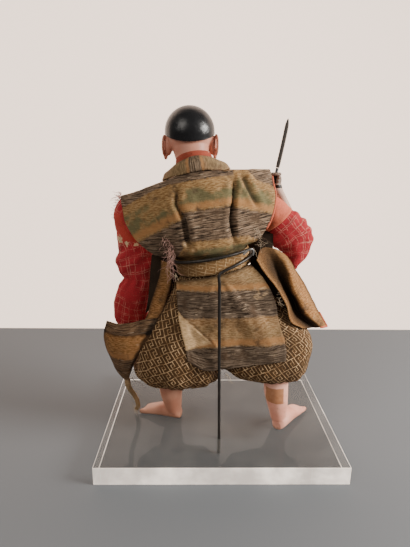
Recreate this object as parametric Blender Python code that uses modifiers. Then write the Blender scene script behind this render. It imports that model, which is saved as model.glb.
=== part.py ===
"""A papier-mache doll in old cloth dress, stepping out with a drawn sword, held up by a bent wire
on a clear acrylic foot. The doll faces -Y, so +X is its left. The origin is the middle of the
foot's underside, and all sizes are in metres.
"""

import math

import bmesh
import bpy
from mathutils import Vector
from mathutils.bvhtree import BVHTree

# Driving dimensions
BASE_WIDTH = 0.250
BASE_DEPTH = 0.200
BASE_THICKNESS = 0.019
BASE_EDGE = 0.0007
DOLL_HEIGHT = 0.337
WIRE_DIAMETER = 0.003
WIRE_RECESS = 0.001
HOLE_CLEARANCE = 0.0004
FIT = 0.0004
CLOTH = 0.0012
CLOTH_STANDOFF = 0.0030
COLLAR_STANDOFF = 0.0038
BELT_THICKNESS = 0.0018
CAP_WALL = 0.0012
BLADE_LENGTH = 0.0505
BLADE_WIDTH = 0.0036
BLADE_THICKNESS = 0.0012
GRIP_DIAMETER = 0.0032
POMMEL_DIAMETER = 0.0080
STRIP_DIAMETER = 0.0045

# The pose and the proportions are laid out for a doll this many units tall
HEIGHT_UNITS = 337
UNIT = DOLL_HEIGHT / HEIGHT_UNITS

# The torso's own frame: its origin at the waist, and its lean towards the doll's left
WAIST = (10, 20, 188)
TORSO_LEAN = math.radians(10.5)

# The waist, in the torso's frame: half-widths across and deep, and the belt's lower and upper edge
WAIST_HALF = (36.5, 29.5)
BELT_LOW = -9
BELT_HIGH = 8
BELT_SWELL = 0.5
BELT_POINTS = 36

# The head: the middle of the cap's rim, the cap's outer radius and how far the cap tips back
CAP_CENTRE = (33.9, 5, 312.6)
CAP_RADIUS = 24.6
CAP_TIP = math.radians(22)

CLOTH_COLOUR = (0.35, 0.22, 0.11)
MATERIALS = {
    "acrylic": ((0.80, 0.88, 0.88), 0.05, 0.0),
    "steel": ((0.10, 0.09, 0.08), 0.40, 1.0),
    "skin": ((0.72, 0.42, 0.31), 0.45, 0.0),
    "lacquer": ((0.01, 0.01, 0.01), 0.15, 0.0),
    "red": ((0.42, 0.03, 0.04), 0.85, 0.0),
    "salmon": ((0.66, 0.19, 0.13), 0.85, 0.0),
    "banded": (CLOTH_COLOUR, 0.90, 0.0),
    "fret": ((0.20, 0.12, 0.06), 0.90, 0.0),
    "lining": ((0.04, 0.025, 0.015), 0.90, 0.0),
}


def clear_scene():
    for obj in list(bpy.data.objects):
        bpy.data.objects.remove(obj, do_unlink=True)


def new_collection(name):
    collection = bpy.data.collections.new(name)
    bpy.context.scene.collection.children.link(collection)
    return collection


def material(name):
    found = bpy.data.materials.get(name)
    if found:
        return found
    colour, roughness, metallic = MATERIALS[name]
    made = bpy.data.materials.new(name)
    made.use_nodes = True
    shader = made.node_tree.nodes["Principled BSDF"]
    shader.inputs["Base Color"].default_value = (*colour, 1)
    shader.inputs["Roughness"].default_value = roughness
    shader.inputs["Metallic"].default_value = metallic
    return made


def doll(x, y, z):
    """A place on the doll, in units: x to its left, y to its back, z up from the foot's top."""
    return Vector((x, y, z)) * UNIT + Vector((0, 0, BASE_THICKNESS))


def torso(a, b, c):
    """A place in the leaning torso's frame: a to its left, b to its back, c up along its spine."""
    lean = Vector((math.sin(TORSO_LEAN), 0, math.cos(TORSO_LEAN)))
    left = Vector((math.cos(TORSO_LEAN), 0, -math.sin(TORSO_LEAN)))
    return doll(*WAIST) + (left * a + Vector((0, b, 0)) + lean * c) * UNIT


def smooth(rows, steps):
    """A Catmull-Rom curve through rows of numbers, with this many steps between two rows."""
    rows = [Vector(row) for row in rows]
    padded = [2 * rows[0] - rows[1], *rows, 2 * rows[-1] - rows[-2]]
    out = []
    for i in range(1, len(padded) - 2):
        before, here, ahead, after = padded[i - 1 : i + 3]
        for step in range(steps):
            t = step / steps
            out.append(
                0.5
                * (
                    2 * here
                    + (ahead - before) * t
                    + (2 * before - 5 * here + 4 * ahead - after) * t * t
                    + (3 * here - before - 3 * ahead + after) * t**3
                )
            )
    out.append(rows[-1])
    return out


def power(value, exponent):
    return math.copysign(abs(value) ** exponent, value)


def ellipse(centre, across, deep, count, exponent=1.0):
    """Points round an ellipse, squarer where the exponent is under 1."""
    turns = [2 * math.pi * i / count for i in range(count)]
    points = []
    for turn in turns:
        aside = across * power(math.cos(turn), exponent)
        points.append(centre + aside + deep * power(math.sin(turn), exponent))
    return points


def add_object(name, mesh, colour, collection):
    obj = bpy.data.objects.new(name, mesh)
    collection.objects.link(obj)
    if colour:
        mesh.materials.append(material(colour))
    return obj


def loft(name, rings, colour, collection):
    """A closed solid through unlike rings of as many points, with a face over each end."""
    form = bmesh.new()
    layers = [[form.verts.new(point) for point in ring] for ring in rings]
    count = len(layers[0])
    for low, high in zip(layers, layers[1:]):
        for i in range(count):
            j = (i + 1) % count
            form.faces.new((low[i], low[j], high[j], high[i]))
    form.faces.new(layers[0])
    form.faces.new(layers[-1])
    bmesh.ops.recalc_face_normals(form, faces=form.faces)
    return finish_mesh(name, form, colour, collection)


def finish_mesh(name, form, colour, collection):
    mesh = bpy.data.meshes.new(name)
    form.to_mesh(mesh)
    form.free()
    mesh.shade_smooth()
    return add_object(name, mesh, colour, collection)


def limb_rings(stations, count, grow=0.0):
    """Rings square to the path through stations of x, y, z, half-width and half-depth. A room for a
    limb grows all round, past its ends too."""
    centres = [doll(*station[:3]) for station in stations]
    centres[0] -= (centres[1] - centres[0]).normalized() * grow
    centres[-1] += (centres[-1] - centres[-2]).normalized() * grow
    rings = []
    for i, station in enumerate(stations):
        ahead = centres[min(i + 1, len(centres) - 1)] - centres[max(i - 1, 0)]
        across = Vector((0, 1, 0)).cross(ahead).normalized()
        deep = ahead.normalized().cross(across)
        half_across = station[3] * UNIT + grow
        half_deep = station[4] * UNIT + grow
        rings.append(ellipse(centres[i], across * half_across, deep * half_deep, count))
    return rings


def limb(name, stations, colour, collection, count=20, grow=0.0):
    return loft(name, limb_rings(stations, count, grow), colour, collection)


def combine(obj, other, operation):
    """Cuts or joins another object, which becomes a hidden tool."""
    step = obj.modifiers.new(operation.title(), "BOOLEAN")
    step.operation = operation
    step.object = other
    other.hide_render = True
    other.display_type = "WIRE"


def sheet(name, grid, colour, collection, gaps=()):
    """Cloth over a grid of points, given its thickness by Solidify. gaps lists squares left open."""
    form = bmesh.new()
    rows = [[form.verts.new(point) for point in row] for row in grid]
    for i in range(len(rows) - 1):
        for j in range(len(rows[0]) - 1):
            if (i, j) not in gaps:
                form.faces.new((rows[i][j], rows[i][j + 1], rows[i + 1][j + 1], rows[i + 1][j]))
    loose = [vert for vert in form.verts if not vert.link_faces]
    bmesh.ops.delete(form, geom=loose, context="VERTS")
    obj = finish_mesh(name, form, colour, collection)
    shell = obj.modifiers.new("Cloth", "SOLIDIFY")
    shell.thickness = CLOTH
    shell.offset = 0
    return obj


def surface_of(obj):
    """The object's own faces, before its joins and cuts."""
    mesh = obj.data
    places = [vert.co for vert in mesh.vertices]
    return BVHTree.FromPolygons(places, [face.vertices for face in mesh.polygons])


def stand_off(point, surfaces, distance=CLOTH_STANDOFF):
    """The point, moved out where it lies inside a surface or closer to it than the distance."""
    for surface in [*surfaces, *surfaces]:
        place, normal, _, gap = surface.find_nearest(point)
        if gap < distance or (point - place).dot(normal) < 0:
            point = place + normal * distance
    return point


def patch(rows, row_steps, column_steps, surfaces=()):
    """A smooth grid through rows of doll places, standing off what lies under it."""
    across = [smooth(row, column_steps) for row in rows]
    columns = [smooth(column, row_steps) for column in zip(*across)]
    return [[stand_off(doll(*point), surfaces) for point in row] for row in zip(*columns)]


def add_base(parts, cutters):
    bpy.ops.mesh.primitive_cube_add(size=1, location=(0, 0, BASE_THICKNESS / 2))
    base = bpy.context.object
    base.name = "acrylic_base"
    base.scale = (BASE_WIDTH, BASE_DEPTH, BASE_THICKNESS)
    bpy.ops.object.transform_apply(location=False, rotation=False, scale=True)
    base.data.materials.append(material("acrylic"))
    move_to(base, parts)
    edge = base.modifiers.new("Polished edges", "BEVEL")
    edge.width = BASE_EDGE
    edge.segments = 2
    foot = wire_foot()
    bpy.ops.mesh.primitive_cylinder_add(
        vertices=24,
        radius=WIRE_DIAMETER / 2 + HOLE_CLEARANCE,
        depth=BASE_THICKNESS * 3,
        location=(foot.x, foot.y, BASE_THICKNESS / 2),
    )
    hole = bpy.context.object
    hole.name = "wire_hole"
    move_to(hole, cutters)
    combine(base, hole, "DIFFERENCE")


def move_to(obj, collection):
    for holder in list(obj.users_collection):
        holder.objects.unlink(obj)
    collection.objects.link(obj)


# The wire: one length, up from the foot, round the front of the waist and back across the belt.
# Its foot, its bend at the belt and the number of steps between them
WIRE_FOOT = (1.3, 54.8)
WIRE_BEND = (6, -8.5)
WIRE_RISE = 6
# Each stop on the ring: the angle from straight back towards the doll's right, and the height
WIRE_RING = (
    (18, -5.3),
    (40, -2.6),
    (66, -0.6),
    (90, 1),
    (135, 3),
    (180, 4.5),
    (225, 5.5),
    (270, 6.5),
    (300, 7.0),
    (330, 7.3),
    (360, 7.4),
    (390, 7.4),
    (415, 7.0),
    (428, 6.0),
)


def wire_foot():
    return doll(*WIRE_FOOT, 0)


def ring_point(degrees, height):
    """A point of the wire's ring, which runs close outside the belt."""
    out = BELT_SWELL * UNIT + BELT_THICKNESS + 2 * FIT + WIRE_DIAMETER / 2
    turn = math.radians(degrees)
    across = WAIST_HALF[0] + out / UNIT
    deep = WAIST_HALF[1] + out / UNIT
    return torso(-across * math.sin(turn), deep * math.cos(turn), height)


def wire_path():
    foot = wire_foot()
    low = Vector((foot.x, foot.y, WIRE_RECESS))
    bend = ring_point(*WIRE_BEND)
    ring = [ring_point(*stop) for stop in smooth(WIRE_RING, 2)]
    upright = [foot.lerp(bend, share / WIRE_RISE) for share in range(WIRE_RISE + 1)]
    return [low, *upright, *ring]


def tube(name, points, radius, colour, collection):
    curve = bpy.data.curves.new(name, "CURVE")
    curve.dimensions = "3D"
    curve.bevel_depth = radius
    curve.bevel_resolution = 2
    curve.use_fill_caps = True
    line = curve.splines.new("POLY")
    line.points.add(len(points) - 1)
    for point, place in zip(line.points, points):
        point.co = (*place, 1)
    curve.materials.append(material(colour))
    obj = bpy.data.objects.new(name, curve)
    collection.objects.link(obj)
    return obj


# The trousers' legs below the waist: height, middle, half-width and half-depth
LEFT_PUFF = (
    (152, 22, 36, 28),
    (130, 33, 41, 30),
    (106, 43, 46, 31),
    (82, 46, 48, 31),
    (62, 47, 46, 29),
    (52.5, 46, 41.5, 24.5),
    (47.5, 44, 33, 18.5),
    (44.5, 43, 22, 12),
)
RIGHT_PUFF = (
    (154, -10, 37, 28),
    (132, -27, 47, 30),
    (110, -42, 53, 31),
    (91, -47.5, 52, 31),
    (73, -49, 48, 30),
    (62, -51, 43, 26.5),
    (57, -54, 35, 20),
    (54, -58, 25, 14),
)
HIP_DEPTH = 20
PUFF_PLEATS = 8
PLEAT_DEPTH = 2.4
PUFF_SQUARE = 0.92
# The pleats die away around this height, over this distance
PLEAT_MIDDLE = 95
PLEAT_REACH = 45
# Each leg's top inside the belt: its height and how far in from the waist it lies. It runs straight
# to a little below the belt's edge
LEFT_TUCK = (3.6, 1.1)
RIGHT_TUCK = (2.4, 1.6)
TUCK_DROP = 2


def puff(name, levels, tuck, colour, collection, count=32):
    """One full trouser leg: a ring inside the belt, then rounds that swell and gather in."""
    top, inset = tuck
    waist = []
    for c in (top, BELT_LOW - TUCK_DROP):
        centre = torso(0, 0, c)
        across = torso(WAIST_HALF[0] - inset, 0, c) - centre
        deep = torso(0, WAIST_HALF[1] - inset, c) - centre
        waist.append(ellipse(centre, across, deep, count))
    rings = []
    for z, x, half, deep in levels:
        ring = []
        gather = PLEAT_DEPTH * min(1, abs(z - PLEAT_MIDDLE) / PLEAT_REACH)
        for i in range(count):
            turn = 2 * math.pi * i / count
            swell = 1 + gather / half * math.cos(PUFF_PLEATS * turn)
            across = half * swell * power(math.cos(turn), PUFF_SQUARE)
            back = deep * swell * power(math.sin(turn), PUFF_SQUARE)
            ring.append(doll(x + across, HIP_DEPTH + back, z))
        rings.append(ring)
    return loft(name, waist + rings, colour, collection)


# The calves, above the ankle, and the feet, from heel to toe, with upright and level half-sizes
LEFT_CALF = (
    (54.8, 15, 58, 12.8, 11.8),
    (54.8, 15, 36, 12.8, 12),
    (53.5, 15, 24, 11.2, 11.5),
    (51.5, 15, 9, 8.5, 9.5),
)
RIGHT_CALF = (
    (-61.8, 25, 66, 13, 12),
    (-62.3, 27, 42, 13.2, 12.2),
    (-64, 30, 28, 11.4, 11),
    (-66, 33, 10, 8.5, 9),
)
LEFT_FOOT_LINE = ((43.5, 17.5), (89, 3))
RIGHT_FOOT_LINE = ((-62.5, 40.5), (-98, -1))
FOOT_SECTIONS = (
    (0, 4.5, 5),
    (0.08, 6.8, 7.8),
    (0.25, 7.6, 8.4),
    (0.5, 6.6, 8.6),
    (0.74, 4.6, 9.6),
    (0.92, 3.2, 9),
    (1, 2.0, 6.5),
)


def add_leg(name, calf, foot_line, parts, cutters):
    """A calf joined to a foot, whose upright sections stand just clear of the acrylic."""
    leg = limb(name, calf, "skin", parts, count=16)
    heel, toe = (Vector((*point, 0)) for point in foot_line)
    side = (toe - heel).normalized().cross(Vector((0, 0, 1))) * UNIT
    rings = []
    for share, tall, wide in FOOT_SECTIONS:
        sole = heel.lerp(toe, share)
        centre = doll(sole.x, sole.y, tall) + Vector((0, 0, FIT))
        rings.append(ellipse(centre, Vector((0, 0, tall * UNIT)), side * wide, 14, 0.8))
    combine(leg, loft(name + "_foot", rings, None, cutters), "UNION")
    return leg


def add_trousers(parts, cutters):
    trousers = puff("trousers", LEFT_PUFF, LEFT_TUCK, "fret", parts)
    other = puff("right_puff", RIGHT_PUFF, RIGHT_TUCK, None, cutters)
    combine(trousers, other, "UNION")
    for name, calf in (("left_calf_room", LEFT_CALF), ("right_calf_room", RIGHT_CALF)):
        room = limb(name, calf, None, cutters, count=16, grow=FIT)
        combine(trousers, room, "DIFFERENCE")
    return trousers, other


# The vest: height, half-width, its middle, then half-depth in the middle and at the armholes, how
# far back the middle and the armholes lie, and how square the section is
VEST_RINGS = (
    (11.0, 55, 0.5, 29, 2.5, 0, 7, 0.85),
    (16, 62, 0.8, 30, 2.5, 0, 8, 0.85),
    (32, 73, 1.5, 30, 3, 0, 4, 0.85),
    (50, 76.5, 4, 29, 7, 0, -3, 0.8),
)
# The same above the armholes, with the height counted down from the shoulder line
SHOULDER_RINGS = (
    (-15, 77, 4.5, 26, 9, 0, -7, 0.8),
    (-5, 76.8, 4.5, 23.5, 7.5, -0.5, -8, 0.8),
    (0, 76, 4.5, 19, 5, -0.5, -8, 0.8),
)
VEST_POINTS = 44
# Inside the belt the vest is this much narrower than the waist, at these two heights
VEST_TUCK = ((4.6, 2), (10.0, 1.5))
NECK_TOP = 89.5
SHOULDER_TOP = 84.5
SHOULDER_TIP = 78
SHOULDER_MIDDLE = 4.5
NECK_REACH = 30
SHOULDER_REACH = 77
DART_DEPTH = 5
DART_WIDTH = 5
DART_LOW = 8
DART_LENGTH = 68


def shoulder_line(a):
    """The height of the vest's top edge, at a distance to the left of the spine."""
    out = abs(a - SHOULDER_MIDDLE)
    if out < NECK_REACH:
        return NECK_TOP - (NECK_TOP - SHOULDER_TOP) * (out / NECK_REACH) ** 2
    share = (out - NECK_REACH) / (SHOULDER_REACH - NECK_REACH)
    return SHOULDER_TOP - (SHOULDER_TOP - SHOULDER_TIP) * share


def dart(a, c):
    """How far the two long folds down the back draw the cloth in."""
    length = math.sin(math.pi * min(1, max(0, (c - DART_LOW) / DART_LENGTH))) ** 0.6
    left = 20 + 4 * math.exp(-(((c - 63) / 8) ** 2))
    right = -24 - 7 * min(1, max(0, (c - 42) / 20))
    return DART_DEPTH * length * sum(math.exp(-(((a - line) / DART_WIDTH) ** 2)) for line in (left, right))


def vest_ring(level, half, shift, deep, edge, mid, side, square, hang=False):
    points = []
    for i in range(VEST_POINTS):
        turn = 2 * math.pi * i / VEST_POINTS
        back = 1 if turn < math.pi else -1
        part = (turn % math.pi) / math.pi
        u = back * (0.55 * math.cos(math.pi * part) + 0.45 * (1 - 2 * part))
        thick = edge + (deep - edge) * (1 - abs(u) ** 2.2)
        a = shift + half * u
        c = level + shoulder_line(a) if hang else level
        b = mid + (side - mid) * u * u + back * thick * max(0, 1 - u * u) ** (square / 2)
        if back > 0:
            b -= dart(a, c) * (1 - abs(u) ** 4)
        points.append(torso(a, b, c))
    return points


def add_vest(parts, cutters, rooms):
    rings = []
    for level, inset in VEST_TUCK:
        half, deep = WAIST_HALF[0] - inset, WAIST_HALF[1] - inset
        rings.append(vest_ring(level, half, 0, deep, deep, 0, 0, 1.0))
    rings += [vest_ring(*ring) for ring in VEST_RINGS]
    rings += [vest_ring(*ring, hang=True) for ring in SHOULDER_RINGS]
    vest = loft("vest", rings, "banded", parts)
    for room in rooms:
        combine(vest, room, "DIFFERENCE")
    return vest


# The sleeves, from inside the armhole to the end: x, y, z, half-width and half-depth
LEFT_SLEEVE = (
    (82, 6, 239, 7.5, 8),
    (97, 4, 241, 9, 10),
    (104, 2, 230, 8.5, 12),
    (100, 1, 214, 11, 14),
    (93.5, 0, 197, 18, 15.5),
    (92.5, 0, 181, 21, 15.5),
    (90.5, 1, 167, 17, 13),
    (90, 2, 159, 15.2, 11.5),
    (94.5, 1, 149, 18, 13.5),
    (98, 0, 134, 19.5, 14),
    (100, -1, 121, 19.4, 13.5),
    (101.5, -3, 112.5, 18, 12),
    (102, -4, 108, 15, 10),
)
# The right sleeve is one path in two cloths: a faded band next to the vest, then the checked cloth
RIGHT_SLEEVE = (
    (-36, 8, 247, 11, 11),
    (-45, 6, 240, 15, 14.5),
    (-52, 5, 233, 17.5, 16),
    (-58, 5, 226, 18, 16),
    (-66.5, 4, 217, 21.5, 17),
    (-76, 3, 206, 21.5, 15),
    (-78, 3, 193, 14.5, 10.5),
    (-77, 3, 182, 8.5, 7.5),
    (-78.5, 3, 173.5, 4, 4),
)
RIGHT_BAND_RINGS = 6


def right_sleeve_rings(grow=0.0):
    return limb_rings(smooth(RIGHT_SLEEVE, 2), 20, grow)


def add_right_sleeve(parts):
    rings = right_sleeve_rings()
    middles = [sum(ring, Vector()) / len(ring) for ring in rings]
    step = (middles[RIGHT_BAND_RINGS + 1] - middles[RIGHT_BAND_RINGS]).normalized() * FIT
    seam = [point + step for point in rings[RIGHT_BAND_RINGS]]
    band = loft("right_sleeve_band", rings[: RIGHT_BAND_RINGS + 1], "salmon", parts)
    return band, loft("right_sleeve", [seam] + rings[RIGHT_BAND_RINGS + 1 :], "red", parts)


# The sword hand: the fist's middle, the line of the grip and the forearm from the sleeve
GRIP_MIDDLE = (-57.8, -24, 267)
BLADE_LEAN = Vector((-0.182, 0, 0.983))
GRIP_LENGTH = 24
RIGHT_ARM = (
    (-84, -13, 226, 7.5, 7),
    (-79, -18, 238, 7.2, 7),
    (-70, -23, 248, 6.6, 6.2),
    (-63, -27, 256, 5.6, 5.4),
    (-59.5, -28.5, 261, 7.5, 7.2),
    (-58.2, -29, 267, 8.2, 7.6),
    (-59.5, -28.5, 273, 6.8, 6.4),
    (-60.4, -28, 276.5, 3.5, 3.6),
)
LEFT_ARM = (
    (98, 0, 130, 6.5, 6.5),
    (93, -8, 121, 6, 6),
    (88, -15, 114, 6.3, 6.3),
    (84, -20, 108, 8, 7.6),
    (80.5, -24, 102.5, 7.4, 7),
    (78.5, -26.5, 99.5, 3.6, 3.6),
)


def along_grip(distance):
    return doll(*GRIP_MIDDLE) + BLADE_LEAN.normalized() * distance


def turned(name, profile, base, axis, colour, collection, sides=16):
    """A turned form through pairs of radius and height, both ends on its axis."""
    form = bmesh.new()
    verts = [form.verts.new((radius, 0, height)) for radius, height in profile]
    for start, end in zip(verts, verts[1:]):
        form.edges.new((start, end))
    obj = finish_mesh(name, form, colour, collection)
    spin = obj.modifiers.new("Turned", "SCREW")
    spin.steps = sides
    spin.render_steps = sides
    spin.use_merge_vertices = True
    spin.merge_threshold = 0.00005
    spin.use_smooth_shade = True
    obj.location = base
    obj.rotation_euler = Vector((0, 0, 1)).rotation_difference(axis).to_euler()
    return obj


def grip_profile(grow=0.0):
    half = GRIP_LENGTH * UNIT / 2
    radius = GRIP_DIAMETER / 2 + grow
    pommel = POMMEL_DIAMETER / 2 + grow
    return (
        (0, half + grow),
        (radius, half + grow),
        (radius, -half + 0.003 + grow),
        (pommel, -half + 0.0022 + grow),
        (pommel, -half - grow),
        (0, -half - grow),
    )


def add_sword(parts):
    axis = BLADE_LEAN.normalized()
    turned("sword_grip", grip_profile(), along_grip(0), axis, "lacquer", parts)
    start = GRIP_LENGTH * UNIT / 2 + FIT
    across = Vector((0, 1, 0)).cross(axis).normalized() * BLADE_WIDTH / 2
    deep = Vector((0, BLADE_THICKNESS / 2, 0))
    rings = []
    for share, wide in ((0, 0.8), (0.3, 1), (0.85, 0.95), (0.95, 0.6), (1, 0.12)):
        centre = along_grip(start + BLADE_LENGTH * share)
        rings.append(ellipse(centre, across * wide, deep * max(wide, 0.3), 8))
    loft("sword_blade", rings, "steel", parts)


# The head, in units from the middle of the cap's rim
SKULL_GAP = 0.85
FACE_STRETCH = 0.62
# The neck: where it meets the skull, from the middle of the cap's rim, then its stations below
NECK_IN_SKULL = (-2.9, 3, -20.6)
NECK_SIZE = 14
NECK_BELOW = ((28, 11, 279, 13.5, 13.5), (24, 14, 262, 13.5, 13.5))
EARS = ((22.8, -0.5, -15), (-23, -0.5, -14.6))
EAR_SIZE = (5, 6.5, 11)


def neck_line():
    top = Vector(CAP_CENTRE) + Vector(NECK_IN_SKULL)
    return ((*top, NECK_SIZE, NECK_SIZE), *NECK_BELOW)


def face_form(point, radius):
    """Turns a ball into a head: a longer lower face, a jaw that narrows, a brow, a nose and lips."""
    x, y, z = point
    low = max(0.0, -z / radius)
    z *= 1 + FACE_STRETCH * low**1.5
    x *= 1 - 0.17 * low**2.4
    y *= 1 - (0.30 if y > 0 else 0.06) * low**2
    down = -z / radius
    if y < 0:
        y -= 4.2 * bump(x, 2.6, down - 0.72, 0.20) + 1.3 * bump(x, 3.0, down - 0.50, 0.28)
        y -= 1.6 * bump(x, 5.0, down - 1.07, 0.10) + 2.2 * bump(x, 6.0, down - 1.50, 0.20)
        y += 1.6 * (bump(x - 8.5, 4.5, down - 0.42, 0.16) + bump(x + 8.5, 4.5, down - 0.42, 0.16))
        y -= 0.8 * (bump(x - 12, 5.5, down - 0.85, 0.30) + bump(x + 12, 5.5, down - 0.85, 0.30))
    return x, y, z


def bump(across, wide, down, tall):
    return math.exp(-((across / wide) ** 2) - (down / tall) ** 2)


def add_head(parts, cutters):
    radius = CAP_RADIUS - CAP_WALL / UNIT - SKULL_GAP
    form = bmesh.new()
    bmesh.ops.create_uvsphere(form, u_segments=22, v_segments=14, radius=radius)
    for vert in form.verts:
        place = Vector(CAP_CENTRE) + Vector(face_form(vert.co, radius))
        vert.co = doll(*place)
    head = finish_mesh("head", form, "skin", parts)
    for i, place in enumerate(EARS):
        ear = bmesh.new()
        bmesh.ops.create_uvsphere(ear, u_segments=12, v_segments=8, radius=1)
        for vert in ear.verts:
            offset = Vector(vert.co[k] * EAR_SIZE[k] for k in range(3))
            offset.x += math.copysign(0.22 * max(0, offset.y), place[0])
            vert.co = doll(*(Vector(CAP_CENTRE) + Vector(place) + offset))
        combine(head, finish_mesh(f"ear_{i}", ear, None, cutters), "UNION")
    combine(head, limb("neck", neck_line(), None, cutters), "UNION")
    return head


def arc(radius, steps):
    """Radius and height along a quarter circle, from its top to its side."""
    turns = [math.pi / 2 * step / steps for step in range(steps + 1)]
    return [(radius * math.sin(turn), radius * math.cos(turn)) for turn in turns]


def add_cap(parts):
    """A lacquered bowl: an outer and an inner arc and a rim, turned about its own axis."""
    wall = CAP_WALL / UNIT
    inner = CAP_RADIUS - wall
    rim = [(CAP_RADIUS + 0.15, -0.5), (CAP_RADIUS - 0.5 * wall, -1.0), (inner, -0.6)]
    profile = arc(CAP_RADIUS, 7) + rim + arc(inner, 5)[::-1]
    scaled = [(radius * UNIT, height * UNIT) for radius, height in profile]
    axis = Vector((0, math.sin(CAP_TIP), math.cos(CAP_TIP)))
    turned("black_cap", scaled, doll(*CAP_CENTRE), axis, "lacquer", parts, sides=22)


# The vest's collar, from the middle of the nape to the breast: neck edge, then outer edge
COLLAR = (
    ((0, 15, 103), (0, 23, 92.5)),
    ((13.5, 12.5, 100.5), (16.5, 20, 90.5)),
    ((24, 5, 95.5), (29.5, 9, 89.5)),
    ((28.5, -6, 91), (36, -5, 88)),
    ((27, -17, 86.5), (35.5, -19, 84)),
    ((19, -27, 76), (29, -28, 71)),
    ((11, -31, 62), (21, -32, 56)),
    ((1, -33, 44), (11, -34, 38)),
    ((-8, -34, 26), (2, -35, 19)),
)
UNDER_LAPEL_ROWS = 2
# The inner collar: how far round it goes to each side, its heights, its radius and its middle
INNER_COLLAR_ANGLE = math.radians(110)
INNER_COLLAR_STEPS = 24
INNER_COLLAR_LOW = 92
INNER_COLLAR_RISE = 15
INNER_COLLAR_RADIUS = 17.2
INNER_COLLAR_FLARE = 1.4
INNER_COLLAR_MIDDLE = (1.5, -7.5)


def add_collars(parts, vest):
    surface = surface_of(vest)
    left = [(Vector(inner), Vector(outer)) for inner, outer in COLLAR]
    flip = Vector((-1, 1, 1))
    right = [(inner * flip, outer * flip) for inner, outer in left[1:-UNDER_LAPEL_ROWS]]
    rows = right[::-1] + left
    grid = []
    for inner, middle, outer in zip(
        smooth([row[0] for row in rows], 2),
        smooth([(row[0] + row[1]) / 2 for row in rows], 2),
        smooth([row[1] for row in rows], 2),
    ):
        places = [torso(*point) for point in (inner, middle, outer)]
        grid.append([stand_off(place, [surface], COLLAR_STANDOFF) for place in places])
    sheet("vest_collar", grid, "banded", parts)
    inner_grid = []
    for i in range(INNER_COLLAR_STEPS + 1):
        turn = INNER_COLLAR_ANGLE * (2 * i / INNER_COLLAR_STEPS - 1)
        rise = 1 + INNER_COLLAR_RISE * ((1 + math.cos(turn)) / 2) ** 0.8
        row = []
        for share in (0, 0.5, 1):
            out = INNER_COLLAR_RADIUS + INNER_COLLAR_FLARE * (1 - share)
            a = INNER_COLLAR_MIDDLE[0] + out * math.sin(turn)
            b = INNER_COLLAR_MIDDLE[1] + out * math.cos(turn)
            row.append(torso(a, b, INNER_COLLAR_LOW + rise * share))
        inner_grid.append(row)
    sheet("inner_collar", inner_grid, "red", parts)


def add_belt(parts):
    """An open band round the waist, thickened outwards."""
    rings = []
    for c, swell in ((BELT_LOW, 0), ((BELT_LOW + BELT_HIGH) / 2, BELT_SWELL), (BELT_HIGH, 0)):
        centre = torso(0, 0, c)
        across = torso(WAIST_HALF[0] + swell, 0, c) - centre
        deep = torso(0, WAIST_HALF[1] + swell, c) - centre
        rings.append(ellipse(centre, across, deep, BELT_POINTS))
    form = bmesh.new()
    layers = [[form.verts.new(point) for point in ring] for ring in rings]
    count = len(layers[0])
    for low, high in zip(layers, layers[1:]):
        for i in range(count):
            j = (i + 1) % count
            form.faces.new((low[i], low[j], high[j], high[i]))
    bmesh.ops.recalc_face_normals(form, faces=form.faces)
    belt = finish_mesh("belt", form, "fret", parts)
    shell = belt.modifiers.new("Cloth", "SOLIDIFY")
    shell.thickness = BELT_THICKNESS - FIT
    shell.offset = 1
    return belt


# The tail of the coat below the belt: rows from the belt down, each from the left to the right
TAIL_ROWS = (
    ((46.5, 40, 170), (30, 47, 173.2), (8.5, 49.5, 177.6), (-12, 47, 182.6), (-27, 39, 187.6)),
    ((45.8, 44, 158), (26, 49, 160), (5, 50, 163), (-18, 47.5, 168), (-41, 43, 172.5)),
    ((45, 46, 144), (23, 50, 144), (4, 50.3, 145), (-22, 48, 148), (-52.5, 44, 151)),
    ((42, 48, 127), (20, 50.3, 126), (3, 50.3, 126), (-26, 48.5, 127), (-57, 45, 129)),
    ((38.5, 49.5, 108), (18, 50.5, 105), (2, 50.4, 104), (-28, 49, 105), (-62.5, 44, 108)),
    ((35.5, 50, 88), (17, 50.5, 77), (1.6, 50.4, 78), (-29, 49, 82), (-64.5, 42, 88)),
)
# The right flap, a trough that opens backwards: rolled edge, valley, ridge and outer rim
RIGHT_FLAP_ROWS = (
    ((-32.5, 41, 192), (-40, 23, 200), (-55, 19, 198.5), (-67.5, 17, 190.5)),
    ((-41.8, 44, 178.5), (-54, 20, 181), (-66.5, 25, 181), (-73.5, 18, 182)),
    ((-53.5, 46, 163.5), (-68, 18, 159), (-72, 34, 162), (-81.5, 19, 170.5)),
    ((-62.5, 47, 149), (-77.5, 19, 141), (-79, 36, 149), (-93, 19, 152)),
    ((-69.5, 46, 130), (-84.5, 22, 127.5), (-88, 33, 134), (-102.5, 19, 134)),
    ((-84, 38, 119), (-97.5, 25, 114.5), (-107, 26, 115.5), (-114.5, 20, 114.5)),
)
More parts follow.
